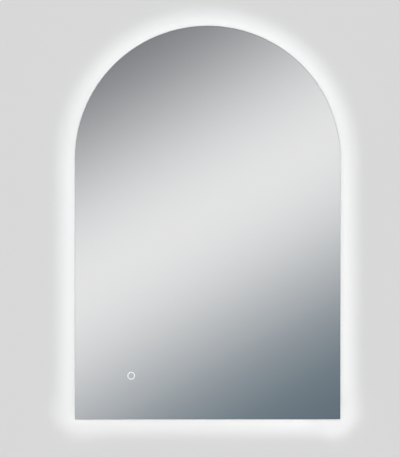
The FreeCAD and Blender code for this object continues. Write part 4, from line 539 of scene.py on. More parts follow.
@dataclass(frozen=True)
class Silvering(Finish):
    """Silver towards the glass and grey protective paint towards the wall."""

    silver: Colour = (0.945, 0.945, 0.95)
    paint: Colour = (0.30, 0.33, 0.35)
    paint_roughness: float = 0.55
    roller: float = 2.5 * MM
    roller_stretch: float = 0.1
    tarnish: float = 120 * MM
    tarnish_most: float = 0.006

    def draw(self, graph: Graph, shader: Any) -> None:
        """Draws both sides, told apart by the way the surface faces.

        Args:
            graph: The material's nodes.
            shader: Its Principled shader.
        """
        place = graph.object_place()
        front = graph.math("LESS_THAN", graph.facing_wall(), -0.5)
        rolled = graph.noise(graph.stretched(place, self.roller_stretch, 1.0, 1.0), self.roller,
                             Layers.PLAIN)
        paint = graph.shades(rolled, self.paint, 0.10)
        graph.link(graph.mix(front, paint, self.silver), shader.inputs["Base Color"])
        graph.link(front, shader.inputs["Metallic"])
        clouds = graph.noise(place, self.tarnish, Layers.EVEN)
        tarnish = graph.remap(clouds, 0.4, 0.8, 0.0, self.tarnish_most)
        matt = graph.math("MULTIPLY_ADD", front, -self.paint_roughness, self.paint_roughness)
        graph.link(graph.math("ADD", matt, tarnish), shader.inputs["Roughness"])


@dataclass(frozen=True)
class BackingFilm(Finish):
    """Safety film: satin, with the fine net of its reinforcement and a few slack bubbles."""

    colour: Colour = (0.52, 0.545, 0.565)
    net: float = 2.6 * MM
    net_depth: float = 0.05 * MM
    net_share: float = 0.30
    net_bright: float = 1.35
    waves_per_turn: float = 3.18
    slack: float = 55 * MM
    slack_depth: float = 0.5 * MM
    cloud: float = 160 * MM
    roughness: tuple[float, float] = (0.32, 0.44)

    def draw(self, graph: Graph, shader: Any) -> None:
        """Draws the net, the bubbles and the tone.

        Args:
            graph: The material's nodes.
            shader: Its Principled shader.
        """
        place = graph.object_place()
        threads = []
        for direction in ("X", "Z"):
            wave = graph.node(
                "TexWave",
                {"Vector": place, "Scale": 1 / self.net / self.waves_per_turn, "Distortion": 0.15},
                bands_direction=direction,
            )
            threads.append(graph.remap(wave.outputs["Fac"], 0.80, 1.0, 0.0, 1.0))
        net = graph.math("MAXIMUM", threads[0], threads[1])
        slack = graph.noise(place, self.slack, Layers.EVEN)
        clouds = graph.noise(place, self.cloud, Layers.CLOUDY)
        base = graph.shades(clouds, self.colour, 0.05)
        woven = graph.math("MULTIPLY", net, self.net_share)
        base = graph.mix(woven, base, scaled(self.colour, self.net_bright))
        graph.link(base, shader.inputs["Base Color"])
        graph.link(graph.spread(clouds, *self.roughness), shader.inputs["Roughness"])
        slackened = graph.bump(slack, self.slack_depth)
        graph.link(graph.bump(net, self.net_depth, slackened), shader.inputs["Normal"])


@dataclass(frozen=True)
class OpalStrip(Finish):
    """Opal acrylic lit from behind: even light with a faint swell over each lamp."""

    light: Colour = (1.0, 0.985, 0.955)
    body: Colour = (0.90, 0.90, 0.88)
    strength: float = 0.95
    spring: float = 0.0
    turn_radius: float = 0.256
    pitch: float = 16 * MM
    between_lamps: float = 0.90
    dust: float = 6 * MM
    under_dust: float = 0.95
    glow: float = 0.3
    glow_reach: float = 3 * MM
    roughness: tuple[float, float] = (0.30, 0.42)

    def draw(self, graph: Graph, shader: Any) -> None:
        """Draws the swells along the strip, by height on the legs and by angle round the arch.

        Args:
            graph: The material's nodes.
            shader: Its Principled shader.
        """
        place = graph.object_place()
        across, _, height = graph.split(place)
        over = graph.math("SUBTRACT", height, self.spring)
        angle = graph.math("ARCTAN2", over, graph.math("ABSOLUTE", across))
        arc = graph.math("MULTIPLY", graph.math("MAXIMUM", angle, 0.0), self.turn_radius)
        leg = graph.math("MINIMUM", over, 0.0)
        way = graph.math("ADD", graph.math("ADD", arc, leg), across)
        swell = graph.math("COSINE", graph.math("MULTIPLY", way, 2 * math.pi / self.pitch))
        level = graph.remap(swell, -1.0, 1.0, self.between_lamps, 1.0)
        dust = graph.noise(place, self.dust, Layers.PLAIN)
        level = graph.math("MULTIPLY", level, graph.remap(dust, 0.4, 0.8, 1.0, self.under_dust))
        lit = graph.mix(level, (0.0, 0.0, 0.0), self.light)
        graph.link(lit, shader.inputs["Emission Color"])
        set_plain(shader, Emission_Strength=self.strength, Subsurface_Weight=self.glow,
                  Subsurface_Scale=self.glow_reach)
        graph.link(graph.shades(dust, self.body, 0.03), shader.inputs["Base Color"])
        graph.link(graph.spread(dust, *self.roughness), shader.inputs["Roughness"])


@dataclass(frozen=True)
class LampFace(Finish):
    """A lit lamp or light guide, with a fine grain of light."""

    light: Colour = (1.0, 0.97, 0.90)
    strength: float = 1.0
    body: Colour = (0.9, 0.88, 0.78)
    grain: float = 1.5 * MM
    roughness: float = 0.35

    def draw(self, graph: Graph, shader: Any) -> None:
        """Draws the light and the body.

        Args:
            graph: The material's nodes.
            shader: Its Principled shader.
        """
        grain = graph.noise(graph.object_place(), self.grain, Layers.SOFT)
        graph.link(graph.shades(grain, self.light, 0.04), shader.inputs["Emission Color"])
        graph.link(graph.shades(grain, self.body, 0.05), shader.inputs["Base Color"])
        set_plain(shader, Emission_Strength=self.strength, Roughness=self.roughness)


@dataclass(frozen=True)
class Foam(Finish):
    """Closed-cell foam: small cells with thin walls."""

    colour: Colour = (0.85, 0.85, 0.83)
    cell: float = 0.6 * MM
    cell_depth: float = 0.08 * MM
    wall_dark: float = 0.72

    def draw(self, graph: Graph, shader: Any) -> None:
        """Draws the cells.

        Args:
            graph: The material's nodes.
            shader: Its Principled shader.
        """
        place = graph.object_place()
        walls = graph.cells(place, self.cell, "DISTANCE_TO_EDGE").outputs["Distance"]
        wall = graph.remap(walls, 0.0, 0.12, 0.0, 1.0)
        toned = graph.mix(wall, scaled(self.colour, self.wall_dark), self.colour)
        graph.link(toned, shader.inputs["Base Color"])
        graph.link(graph.remap(wall, 0.0, 1.0, 0.95, 0.8), shader.inputs["Roughness"])
        graph.link(graph.bump(wall, self.cell_depth), shader.inputs["Normal"])


@dataclass(frozen=True)
class HeaterFilm(Finish):
    """Thin polyester film of the demister: satin, slightly crinkled, with a printed rim."""

    colour: Colour = (0.83, 0.81, 0.74)
    centre: tuple[float, float] = (0.0, 0.0)
    half: tuple[float, float] = (0.15, 0.19)
    rim: float = 6 * MM
    rim_line: float = 0.5 * MM
    rim_dark: float = 0.45
    crinkle: float = 22 * MM
    crinkle_depth: float = 0.35 * MM
    cloud: float = 70 * MM
    coat: float = 0.25
    coat_roughness: float = 0.2
    roughness: tuple[float, float] = (0.26, 0.42)

    def draw(self, graph: Graph, shader: Any) -> None:
        """Draws crinkles, tone and the printed line along the rim.

        Args:
            graph: The material's nodes.
            shader: Its Principled shader.
        """
        place = graph.object_place()
        across, _, height = graph.split(place)
        sides = []
        for way, centre, half in zip((across, height), self.centre, self.half):
            away = graph.math("ABSOLUTE", graph.math("SUBTRACT", way, centre))
            sides.append(graph.math("SUBTRACT", half, away))
        inside = graph.math("MINIMUM", sides[0], sides[1])
        line = graph.math("COMPARE", inside, self.rim, self.rim_line)
        crinkle = graph.noise(place, self.crinkle, Layers.CLOUDY)
        clouds = graph.noise(place, self.cloud, Layers.EVEN)
        base = graph.shades(clouds, self.colour, 0.05)
        base = graph.mix(line, base, scaled(self.colour, self.rim_dark))
        graph.link(base, shader.inputs["Base Color"])
        graph.link(graph.spread(crinkle, *self.roughness), shader.inputs["Roughness"])
        set_plain(shader, Coat_Weight=self.coat, Coat_Roughness=self.coat_roughness)
        graph.link(graph.bump(crinkle, self.crinkle_depth), shader.inputs["Normal"])


@dataclass(frozen=True)
class HeaterFoil(Finish):
    """Etched aluminium foil of the heater track, finely wrinkled."""

    colour: Colour = (0.72, 0.72, 0.73)
    wrinkle: float = 5 * MM
    wrinkle_depth: float = 0.12 * MM
    grain: float = 0.4 * MM
    roughness: tuple[float, float] = (0.28, 0.45)

    def draw(self, graph: Graph, shader: Any) -> None:
        """Draws the wrinkles and the etched grain.

        Args:
            graph: The material's nodes.
            shader: Its Principled shader.
        """
        place = graph.object_place()
        wrinkle = graph.noise(place, self.wrinkle, Layers.CRUMPLED)
        grain = graph.noise(place, self.grain, Layers.SOFT)
        graph.link(graph.shades(wrinkle, self.colour, 0.12), shader.inputs["Base Color"])
        set_plain(shader, Metallic=1.0)
        graph.link(graph.spread(grain, *self.roughness), shader.inputs["Roughness"])
        graph.link(graph.bump(wrinkle, self.wrinkle_depth), shader.inputs["Normal"])


@dataclass(frozen=True)
class CircuitBoard(Finish):
    """Solder mask over copper tracks that run in steps, with tinned holes."""

    mask: Colour = (0.03, 0.17, 0.07)
    tracks: Colour = (0.06, 0.27, 0.11)
    tin: Colour = (0.62, 0.62, 0.60)
    pitch: float = 2.54 * MM
    track: float = 0.35 * MM
    relief: float = 0.04 * MM

    def draw(self, graph: Graph, shader: Any) -> None:
        """Draws tracks and holes on a regular grid.

        Args:
            graph: The material's nodes.
            shader: Its Principled shader.
        """
        place = graph.object_place()
        across, _, height = graph.split(place)
        flat = graph.node("CombineXYZ", {0: across, 1: height}).outputs[0]
        bricks = graph.node(
            "TexBrick",
            {"Vector": flat, "Scale": 1.0, "Mortar Size": self.track, "Brick Width": 5 * self.pitch,
             "Row Height": self.pitch, "Mortar Smooth": 0.1},
        )
        copper = bricks.outputs["Fac"]
        holes = graph.cells(flat, 2 * self.pitch)
        holes.inputs["Randomness"].default_value = 0.35
        pad = graph.remap(holes.outputs["Distance"], 0.16, 0.13, 0.0, 1.0)
        base = graph.mix(copper, self.mask, self.tracks)
        graph.link(graph.mix(pad, base, self.tin), shader.inputs["Base Color"])
        graph.link(graph.math("MULTIPLY", pad, 0.9), shader.inputs["Metallic"])
        graph.link(graph.remap(pad, 0.0, 1.0, 0.28, 0.4), shader.inputs["Roughness"])
        relief = graph.math("ADD", copper, graph.math("MULTIPLY", pad, 1.5))
        graph.link(graph.bump(relief, self.relief), shader.inputs["Normal"])


@dataclass(frozen=True)
class WoundCore(Finish):
    """A transformer: taped winding in the middle and dark ferrite at both sides of it."""

    tape: Colour = (0.72, 0.50, 0.06)
    ferrite: Colour = (0.035, 0.035, 0.04)
    middle: float = 0.0
    half_winding: float = 7 * MM
    turn: float = 1.2 * MM
    turn_stretch: float = 0.1
    turn_depth: float = 0.06 * MM

    def draw(self, graph: Graph, shader: Any) -> None:
        """Draws tape and ferrite, told apart by the distance from the coil's middle.

        Args:
            graph: The material's nodes.
            shader: Its Principled shader.
        """
        place = graph.object_place()
        across = graph.split(place)[0]
        away = graph.math("ABSOLUTE", graph.math("SUBTRACT", across, self.middle))
        core = graph.math("GREATER_THAN", away, self.half_winding)
        turns = graph.noise(graph.stretched(place, self.turn_stretch, 1.0, 1.0), self.turn, Layers.SOFT)
        tape = graph.shades(turns, self.tape, 0.12)
        graph.link(graph.mix(core, tape, self.ferrite), shader.inputs["Base Color"])
        graph.link(graph.remap(core, 0.0, 1.0, 0.25, 0.55), shader.inputs["Roughness"])
        graph.link(graph.bump(turns, self.turn_depth), shader.inputs["Normal"])


@dataclass(frozen=True)
class SleevedCan(Finish):
    """A capacitor: shrunk sleeve round the side and bare aluminium on the end."""

    sleeve: Colour = (0.03, 0.04, 0.07)
    metal: Colour = (0.72, 0.73, 0.74)
    grain: float = 0.8 * MM
    end_turn: float = 0.7
    roughness: tuple[float, float] = (0.22, 0.34)

    def draw(self, graph: Graph, shader: Any) -> None:
        """Draws sleeve and end, told apart by the way the surface faces.

        Args:
            graph: The material's nodes.
            shader: Its Principled shader.
        """
        place = graph.object_place()
        end = graph.math("GREATER_THAN", graph.facing_wall(), self.end_turn)
        grain = graph.noise(place, self.grain, Layers.PLAIN)
        sleeve = graph.shades(grain, self.sleeve, 0.15)
        graph.link(graph.mix(end, sleeve, self.metal), shader.inputs["Base Color"])
        graph.link(end, shader.inputs["Metallic"])
        graph.link(graph.spread(grain, *self.roughness), shader.inputs["Roughness"])


@dataclass(frozen=True)
class Sheath(Finish):
    """A wire's soft PVC: faint pull lines along it and handling smears."""

    colour: Colour = (0.88, 0.88, 0.87)
    stripe: Colour | None = None
    stripe_share: float = 0.4
    stripe_blur: float = 0.01
    roughness: float = 0.4
    smear: float = 7 * MM
    ripple: float = 1.1 * MM
    ripple_depth: float = 0.02 * MM

    def draw(self, graph: Graph, shader: Any) -> None:
        """Draws the smears and, on a two-coloured wire, the stripe along it by its own UV.

        Args:
            graph: The material's nodes.
            shader: Its Principled shader.
        """
        place = graph.object_place()
        smears = graph.noise(place, self.smear, Layers.CLOUDY)
        base = graph.shades(smears, self.colour, 0.05)
        if self.stripe:
            around = graph.split(graph.node("TexCoord").outputs["UV"])[0]
            from_middle = graph.math("ABSOLUTE", graph.math("SUBTRACT", around, 0.5))
            inside = graph.remap(from_middle, self.stripe_share / 2 + self.stripe_blur,
                                 self.stripe_share / 2 - self.stripe_blur, 0.0, 1.0)
            base = graph.mix(inside, base, graph.shades(smears, self.stripe, 0.05))
        graph.link(base, shader.inputs["Base Color"])
        rough = graph.spread(smears, self.roughness - 0.08, self.roughness + 0.08)
        graph.link(rough, shader.inputs["Roughness"])
        ripple = graph.noise(place, self.ripple, Layers.SOFT)
        graph.link(graph.bump(ripple, self.ripple_depth), shader.inputs["Normal"])


@dataclass(frozen=True)
class FlexCircuit(Finish):
    """White flexible circuit with tinned pads at its cut marks."""

    colour: Colour = (0.90, 0.90, 0.88)
    pad: Colour = (0.75, 0.52, 0.25)
    pitch: float = 48 * MM
    grain: float = 3 * MM

    def draw(self, graph: Graph, shader: Any) -> None:
        """Draws the pads and the tone of the mask.

        Args:
            graph: The material's nodes.
            shader: Its Principled shader.
        """
        place = graph.object_place()
        depth = graph.split(place)[1]
        cells = graph.cells(place, self.pitch)
        mark = graph.remap(cells.outputs["Distance"], 0.06, 0.05, 0.0, 1.0)
        tone = graph.noise(place, self.grain, Layers.SOFT)
        base = graph.mix(mark, graph.shades(tone, self.colour, 0.03), self.pad)
        graph.link(base, shader.inputs["Base Color"])
        graph.link(graph.remap(depth, -24 * MM, -14 * MM, 0.35, 0.45), shader.inputs["Roughness"])


class Paint:
    """Makes each finish once and puts it on pieces."""

    def __init__(self) -> None:
        """Starts with nothing made."""
        self._made: dict[Finish, bpy.types.Material] = {}

    def material(self, finish: Finish) -> bpy.types.Material:
        """The finish's material, made when it is first asked for.

        Args:
            finish: The finish.

        Returns:
            The material.
        """
        if finish not in self._made:
            self._made[finish] = finish.make()
        return self._made[finish]

    def dress(self, piece: Object, finish: Finish) -> None:
        """Gives a piece one finish all over.

        Args:
            piece: The piece.
            finish: The finish.
        """
        if not piece.material_slots:
            piece.data.materials.append(None)
        for slot in piece.material_slots:
            slot.material = self.material(finish)


PAINT = Paint()


# ---------------------------------------------------------------- building pieces


def deselect() -> None:
    """Leaves nothing selected."""
    for piece in bpy.context.selected_objects:
        piece.select_set(False)


def activate(piece: Object) -> None:
    """Leaves only this piece selected and makes it the active one.

    Args:
        piece: The piece.
    """
    deselect()
    piece.select_set(True)
    bpy.context.view_layer.objects.active = piece


def leave_edit_mode() -> None:
    """Goes back to object mode."""
    if bpy.context.mode != "OBJECT":
        bpy.ops.object.mode_set(mode="OBJECT")


def solid_box(low: Sequence[float], high: Sequence[float]) -> Object:
    """A box between two corners, given in metres.

    Args:
        low: Its lowest corner.
        high: Its highest corner.

    Returns:
        The box.
    """
    deselect()
    centre = [(a + b) / 2 for a, b in zip(low, high)]
    bpy.ops.mesh.primitive_cube_add(size=1, location=centre,
                                    scale=[b - a for a, b in zip(low, high)])
    bpy.ops.object.transform_apply()
    return bpy.context.object


def solid_rod(centre: Sequence[float], axis: Axis, radius: float, length: float,
              sides: int = 64) -> Object:
    """A round rod.

    Args:
        centre: Its centre, in metres.
        axis: The way it runs.
        radius: Its radius.
        length: Its length.
        sides: How many flat sides it has.

    Returns:
        The rod.
    """
    deselect()
    bpy.ops.mesh.primitive_cylinder_add(vertices=sides, radius=radius, depth=length,
                                        location=centre, rotation=axis.value)
    bpy.ops.object.transform_apply()
    return bpy.context.object


def pick(piece: Object, faces: Callable[[Any], bool] | None = None,
         edges: Callable[[Any], bool] | None = None) -> None:
    """Opens a piece in edit mode with only those faces or edges selected.

    Args:
        piece: The piece.
        faces: Which faces, if it is faces.
        edges: Which edges, if it is edges.
    """
    activate(piece)
    bpy.ops.object.mode_set(mode="EDIT")
    bpy.ops.mesh.select_mode(type="FACE" if faces else "EDGE")
    bpy.ops.mesh.select_all(action="DESELECT")
    mesh = bmesh.from_edit_mesh(piece.data)
    wanted, test = (mesh.faces, faces) if faces else (mesh.edges, edges)
    for element in wanted:
        if test(element):
            element.select_set(True)
    bmesh.update_edit_mesh(piece.data)


def close(piece: Object, angle: float = 35.0) -> Object:
    """Leaves edit mode and smooths every edge flatter than that angle in degrees.

    Args:
        piece: The piece.
        angle: The angle, in degrees.

    Returns:
        The piece.
    """
    leave_edit_mode()
    activate(piece)
    bpy.ops.object.shade_smooth_by_angle(angle=math.radians(angle))
    return piece


def carve(piece: Object, cutters: Iterable[Object]) -> Object:
    """Cuts other solids out of a piece and removes them.

    Args:
        piece: The piece.
        cutters: What is cut out of it.

    Returns:
        The piece.
    """
    leave_edit_mode()
    for cutter in cutters:
        activate(piece)
        cut = piece.modifiers.new("cut", "BOOLEAN")
        cut.operation = "DIFFERENCE"
        cut.object = cutter
        bpy.ops.object.modifier_apply(modifier=cut.name)
        bpy.data.objects.remove(cutter)
    return piece


def copy_of_node(node: str) -> Object:
    """A copy of a node's solid with its loose triangles merged and its flat faces made whole.

    Args:
        node: The node's name.

    Returns:
        The copy.
    """
    deselect()
    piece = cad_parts[node].copy()
    piece.data = piece.data.copy()
    bpy.context.scene.collection.objects.link(piece)
    pick(piece, faces=lambda face: True)
    bpy.ops.mesh.remove_doubles(threshold=0.002 * MM)
    bpy.ops.mesh.dissolve_limited(angle_limit=math.radians(0.5))
    leave_edit_mode()
    return piece


def round_edges(piece: Object, width: float, clamped: bool = False) -> Object:
    """Rounds the edges of a piece that turn by more than 50 degrees, for good.

    Args:
        piece: The piece.
        width: The rounding's width, in metres.
        clamped: Whether it narrows where an edge is too short for it.

    Returns:
        The piece.
    """
    activate(piece)
    rounding = piece.modifiers.new("rounding", "BEVEL")
    rounding.width = width
    rounding.segments = 3
    rounding.limit_method = "ANGLE"
    rounding.angle_limit = math.radians(50)
    rounding.use_clamp_overlap = clamped
    rounding.harden_normals = False
    bpy.ops.object.modifier_apply(modifier=rounding.name)
    return close(piece)


def rounded_block(low: Sequence[float], high: Sequence[float], corner: float) -> Object:
    """A box whose four corners are round as seen from the wall.

    Args:
        low: Its lowest corner.
        high: Its highest corner.
        corner: The corners' radius, in metres.

    Returns:
        The block.
    """
    block = solid_box(low, high)
    deep = (high[1] - low[1]) / 2
    pick(block, edges=lambda edge: abs(edge.verts[0].co.y - edge.verts[1].co.y) > deep)
    bpy.ops.mesh.bevel(offset=corner, segments=6, affect="EDGES")
    leave_edit_mode()
    return block


def twin(piece: Object, shift: Sequence[float]) -> Object:
    """A copy of a finished piece, with its own mesh, moved by that much.

    Args:
        piece: The piece.
        shift: How far it is moved along each axis, in metres.

    Returns:
        The copy.
    """
    other = piece.copy()
    other.data = piece.data.copy()
    bpy.context.scene.collection.objects.link(other)
    pick(other, faces=lambda face: True)
    bpy.ops.transform.translate(value=tuple(shift))
    return close(other)


def finish_piece(piece: Object, name: str, body: Body, finish: Finish,
                 replaces: Sequence[str] = ()) -> Object:
    """Names a new piece, dresses it, lets it ride on its body and hides the nodes it stands for.

    Args:
        piece: The piece, in its place.
        name: Its name.
        body: The body it rides on.
        finish: Its finish.
        replaces: The nodes it stands for.

    Returns:
        The piece.
    """
    piece.name = name
    piece.data.name = name
    PAINT.dress(piece, finish)
    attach(piece, body.value)
    if replaces:
        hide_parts(*replaces)
    LOG.info("made %s", name)
    return piece


def wire(points: Iterable[Place], radius: float, sides: int = 3) -> Object:
    """A round wire along a smooth line.

    Args:
        points: The route, as points in the part's frame.
        radius: The wire's radius.
        sides: The roundness of its section.

    Returns:
        The wire as a closed mesh with a UV map: around and along.
    """
    route = list(points)
    curve = bpy.data.curves.new("wire", "CURVE")
    curve.dimensions = "3D"
    spline = curve.splines.new("NURBS")
    spline.points.add(len(route) - 1)
    for control, point in zip(spline.points, route):
        control.co = (*point, 1.0)
    spline.order_u = 3
    spline.use_endpoint_u = True
    spline.resolution_u = 10
    curve.bevel_depth = radius
    curve.bevel_resolution = sides
    curve.use_fill_caps = True
    piece = bpy.data.objects.new("wire", curve)
    bpy.context.scene.collection.objects.link(piece)
    activate(piece)
    bpy.ops.object.convert(target="MESH")
    pick(piece, faces=lambda face: True)
    bpy.ops.mesh.remove_doubles(threshold=0.001 * MM)
    bpy.ops.mesh.normals_make_consistent(inside=False)
    return close(piece, 40)


def at_mm(x: float, z: float, d: float) -> Place:
    """A point given as millimetres from the middle, over the pane's bottom edge and off the wall."""
    return x * MM, -d * MM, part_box("mirror_glass")[0].z + z * MM


class SubAssembly:
    """Pieces that belong together. A subclass gives each node's finish and builds what it adds."""

    def finishes(self) -> dict[str, Finish]:
        """The finish of each node that stays in view."""
        return {}

    def build(self) -> list[Object]:
        """Builds the pieces that it adds."""
        return []

    def make(self) -> None:
        """Dresses the nodes, builds the added pieces and reports them."""
        for node, finish in self.finishes().items():
            PAINT.dress(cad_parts[node], finish)
            LOG.info("dressed %s with %s", node, finish.name)
        LOG.info("%s ready, %d pieces added", type(self).__name__, len(self.build()))


# ---------------------------------------------------------------- finishes that pieces share

ZINC = ZincSheet("zinc_sheet")
SCREW = SmallMetal("zinc_screw")
BRASS = SmallMetal("tinned_brass", (0.70, 0.56, 0.30), 0.3)
RUBBER = Moulding("soft_rubber", (0.028, 0.028, 0.03), 0.62, 0.6 * MM, 0.02 * MM, 0.4 * MM, 0.12)
BLACK_NYLON = Moulding("black_nylon", (0.035, 0.035, 0.038), 0.42, 0.4 * MM, 0.015 * MM, 0.35 * MM,
                       0.08)
WHITE_NYLON = Moulding("white_nylon", (0.82, 0.81, 0.77), 0.38, 0.5 * MM, 0.01 * MM, 0.35 * MM, 0.03,
                       0.2)
WHITE_SHEATH = Sheath("white_sheath")
DARK_SHEATH = Sheath("dark_sheath", (0.045, 0.045, 0.05))
EARTH_WIRE = Sheath("earth_wire", (0.10, 0.42, 0.07), (0.86, 0.78, 0.05))
BROWN_CORE = Sheath("brown_core", (0.17, 0.06, 0.025), roughness=0.3)
BLUE_CORE = Sheath("blue_core", (0.02, 0.10, 0.48), roughness=0.3)
RED_CORE = Sheath("red_core", (0.55, 0.02, 0.02), roughness=0.3)
BLACK_CORE = Sheath("black_core", (0.02, 0.02, 0.02), roughness=0.3)


@dataclass
class Pane(SubAssembly):
    """The mirror pane: glass, silver and safety film."""

    silver_gap: float = 0.03 * MM

    def finishes(self) -> dict[str, Finish]:
        """Glass and film."""
        return {"mirror_glass": FloatGlass("float_glass"), "safety_film": BackingFilm("backing_film")}

    def silver(self) -> Object:
        """The silver a hair behind the glass, so that no light is caught between faces that coincide.

        Returns:
            The silver.
        """
        low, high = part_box("silver_coat")
        middle = (low.y + high.y) / 2
        coat = copy_of_node("silver_coat")
        pick(coat, faces=lambda face: all(v.co.y < middle for v in face.verts))
        bpy.ops.transform.translate(value=(0, self.silver_gap, 0))
        return close(coat)

    def build(self) -> list[Object]:
        """Builds the silver."""
        return [finish_piece(self.silver(), "silver_layer", Body.MIRROR,
                             Silvering("silvering"), ["silver_coat"])]


@dataclass
class LitFrame(SubAssembly):
    """The channel frame with its opal strips, light tapes, foam tape, brackets and bumpers."""

    half_width: float = 300 * MM
    strip_inset: float = 30 * MM
    light_pitch: float = 16 * MM
    chip_strength: float = 3.0
    pad_land: float = 1.6 * MM
    groove_wall: float = 0.5 * MM
    groove_depth: float = 0.9 * MM
    groove_floor: float = 0.9 * MM
    groove_rise: float = 0.7 * MM
    dish_slope: float = 1.8 * MM
    dish_depth: float = 0.5 * MM
    pad_rounding: float = 0.9 * MM

    def finishes(self) -> dict[str, Finish]:
        """The frame's finishes; lines and lamps follow the outline of the arch.

        Returns:
            The finish of each node.
        """
        glass_low, glass_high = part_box("mirror_glass")
        spring = glass_high.z - (glass_high.x - glass_low.x) / 2
        aluminium = DrawnAluminium("drawn_aluminium", spring=spring)
        opal = OpalStrip("opal_strip", spring=spring, turn_radius=self.half_width - self.strip_inset,
                         pitch=self.light_pitch)
        tape = FlexCircuit("light_tape")
        lamp = LampFace("light_chip", strength=self.chip_strength)
        return {
            "frame_arch": aluminium, "frame_sill": aluminium,
            "diffuser_arch": opal, "diffuser_sill": opal,
            "light_tape_arch": tape, "light_tape_sill": tape,
            "light_chips_arch": lamp, "light_chips_sill": lamp,
            "bond_tape": Foam("bond_foam", (0.05, 0.05, 0.055)),
            "corner_brackets": ZINC, "bracket_screws": SCREW,
        }

    def bumper(self) -> Object:
        """The left bumper: rounded rim, a groove round it and a dished middle towards the wall.

        Returns:
            The bumper.
        """
        low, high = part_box("wall_bumpers")
        middle = (low + high) / 2
        radius = (high.z - low.z) / 2
        x = low.x + radius
        pad = solid_rod((x, middle.y, middle.z), Axis.OUT_OF_WALL, radius, high.y - low.y)
        pick(pad, faces=lambda face: face.normal.y > 0.9)
        bpy.ops.mesh.inset(thickness=self.pad_land)
        for width, rise in (
            (self.groove_wall, -self.groove_depth), (self.groove_floor, 0.0),
            (self.groove_wall, self.groove_rise), (self.dish_slope, -self.dish_depth),
        ):
            bpy.ops.mesh.inset(thickness=width)
            bpy.ops.transform.translate(value=(0, rise, 0))
        leave_edit_mode()
        rim = radius - 2 * ON_FACE
        pick(pad, edges=lambda edge: all(
            math.hypot(v.co.x - x, v.co.z - middle.z) > rim and v.co.y > high.y - ON_FACE
            for v in edge.verts))
        bpy.ops.mesh.bevel(offset=self.pad_rounding, segments=4, affect="EDGES")
        return close(pad)

    def build(self) -> list[Object]:
        """Builds the two bumpers.

        Returns:
            The pieces.
        """
        low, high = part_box("wall_bumpers")
        left = self.bumper()
        right = twin(left, (high.x - low.x - (high.z - low.z), 0, 0))
        return [
            finish_piece(pad, f"bumper_{side}", Body.MIRROR, RUBBER, ["wall_bumpers"])
            for side, pad in (("left", left), ("right", right))
        ]


@dataclass
class Hanging(SubAssembly):
    """The wall rail and the bar that hangs on it."""

    def finishes(self) -> dict[str, Finish]:
        """Zinc sheet and screws."""
        return {"wall_rail": ZINC, "hanger_bar": ZINC, "hanger_screws": SCREW}


@dataclass
class Demister(SubAssembly):
    """The heater film, its track and its connection cap."""

    cap_rounding: float = 0.6 * MM

    def finishes(self) -> dict[str, Finish]:
        """Film, foil and cap.

        Returns:
            The finish of each node.
        """
        low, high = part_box("demister_film")
        film = HeaterFilm(
            "heater_film",
            centre=((low.x + high.x) / 2, (low.z + high.z) / 2),
            half=((high.x - low.x) / 2, (high.z - low.z) / 2),
        )
        return {
            "demister_film": film,
            "demister_track": HeaterFoil("heater_foil"),
            "demister_lead": WHITE_SHEATH,
        }

    def build(self) -> list[Object]:
        """Builds the cap over the film's terminals, with its moulded rounding.

        Returns:
            The pieces.
        """
        cap = round_edges(copy_of_node("demister_cap"), self.cap_rounding)
        return [finish_piece(cap, "film_terminal_cap", Body.MIRROR, WHITE_NYLON,
                             ["demister_cap"])]


@dataclass
class PowerSupply(SubAssembly):
    """The power supply on its plate, with what is inside its case."""

    case: Finish = Moulding("driver_case", (0.74, 0.745, 0.73), 0.48, 0.45 * MM, 0.02 * MM, 0.6 * MM)
    corner: float = 3 * MM
    rim: float = 0.9 * MM
    field_side: float = 17 * MM
    field_rise: float = 5 * MM
    field_depth: float = 0.45 * MM
    field_corner: float = 2 * MM
    head_radius: float = 2.4 * MM
    hole_radius: float = 1.35 * MM

    def finishes(self) -> dict[str, Finish]:
        """Case, cover, plate and the parts on the board.

        Returns:
            The finish of each node.
        """
        low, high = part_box("driver_transformer")
        return {
            "driver_case": self.case, "driver_cover_screws": SCREW, "driver_mount_screws": SCREW,
            "equipment_plate": ZINC, "plate_foam": Foam("plate_foam"),
            "driver_board": CircuitBoard("driver_board"), "board_spacers": WHITE_NYLON,
            "driver_transformer": WoundCore("wound_core", middle=(low.x + high.x) / 2),
            "driver_capacitors": SleevedCan("sleeved_can"),
            "driver_heat_sink": SmallMetal("anodised_sink", (0.06, 0.06, 0.065), 0.4),
        }

    def cover(self) -> Object:
        """The cover: round corners and rim, a sunk bare field and a hole at each screw.

        Returns:
            The cover.
        """
        low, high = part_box("driver_cover")
        heads_low, heads_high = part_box("driver_cover_screws")
        plate = rounded_block(low, high, self.corner)
        pick(plate, edges=lambda edge: all(v.co.y > high.y - ON_FACE for v in edge.verts)
             and any(abs(face.normal.y) < 0.5 for face in edge.link_faces))
        bpy.ops.mesh.bevel(offset=self.rim, segments=4, affect="EDGES")
        leave_edit_mode()
        field_low = (low.x + self.field_side, high.y - self.field_depth, low.z + self.field_rise)
        field_high = (high.x - self.field_side, high.y + MM, high.z - self.field_rise)
        cutters = [rounded_block(field_low, field_high, self.field_corner)]
        for x in (heads_low.x + self.head_radius, heads_high.x - self.head_radius):
            for z in (heads_low.z + self.head_radius, heads_high.z - self.head_radius):
                hole = solid_rod((x, (low.y + high.y) / 2, z), Axis.OUT_OF_WALL, self.hole_radius,
                                 3 * (high.y - low.y), 32)
                cutters.append(hole)
        return close(carve(plate, cutters))

    def build(self) -> list[Object]:
        """Builds the cover."""
        return [finish_piece(self.cover(), "power_supply_cover", Body.MIRROR,
                             self.case, ["driver_cover"])]


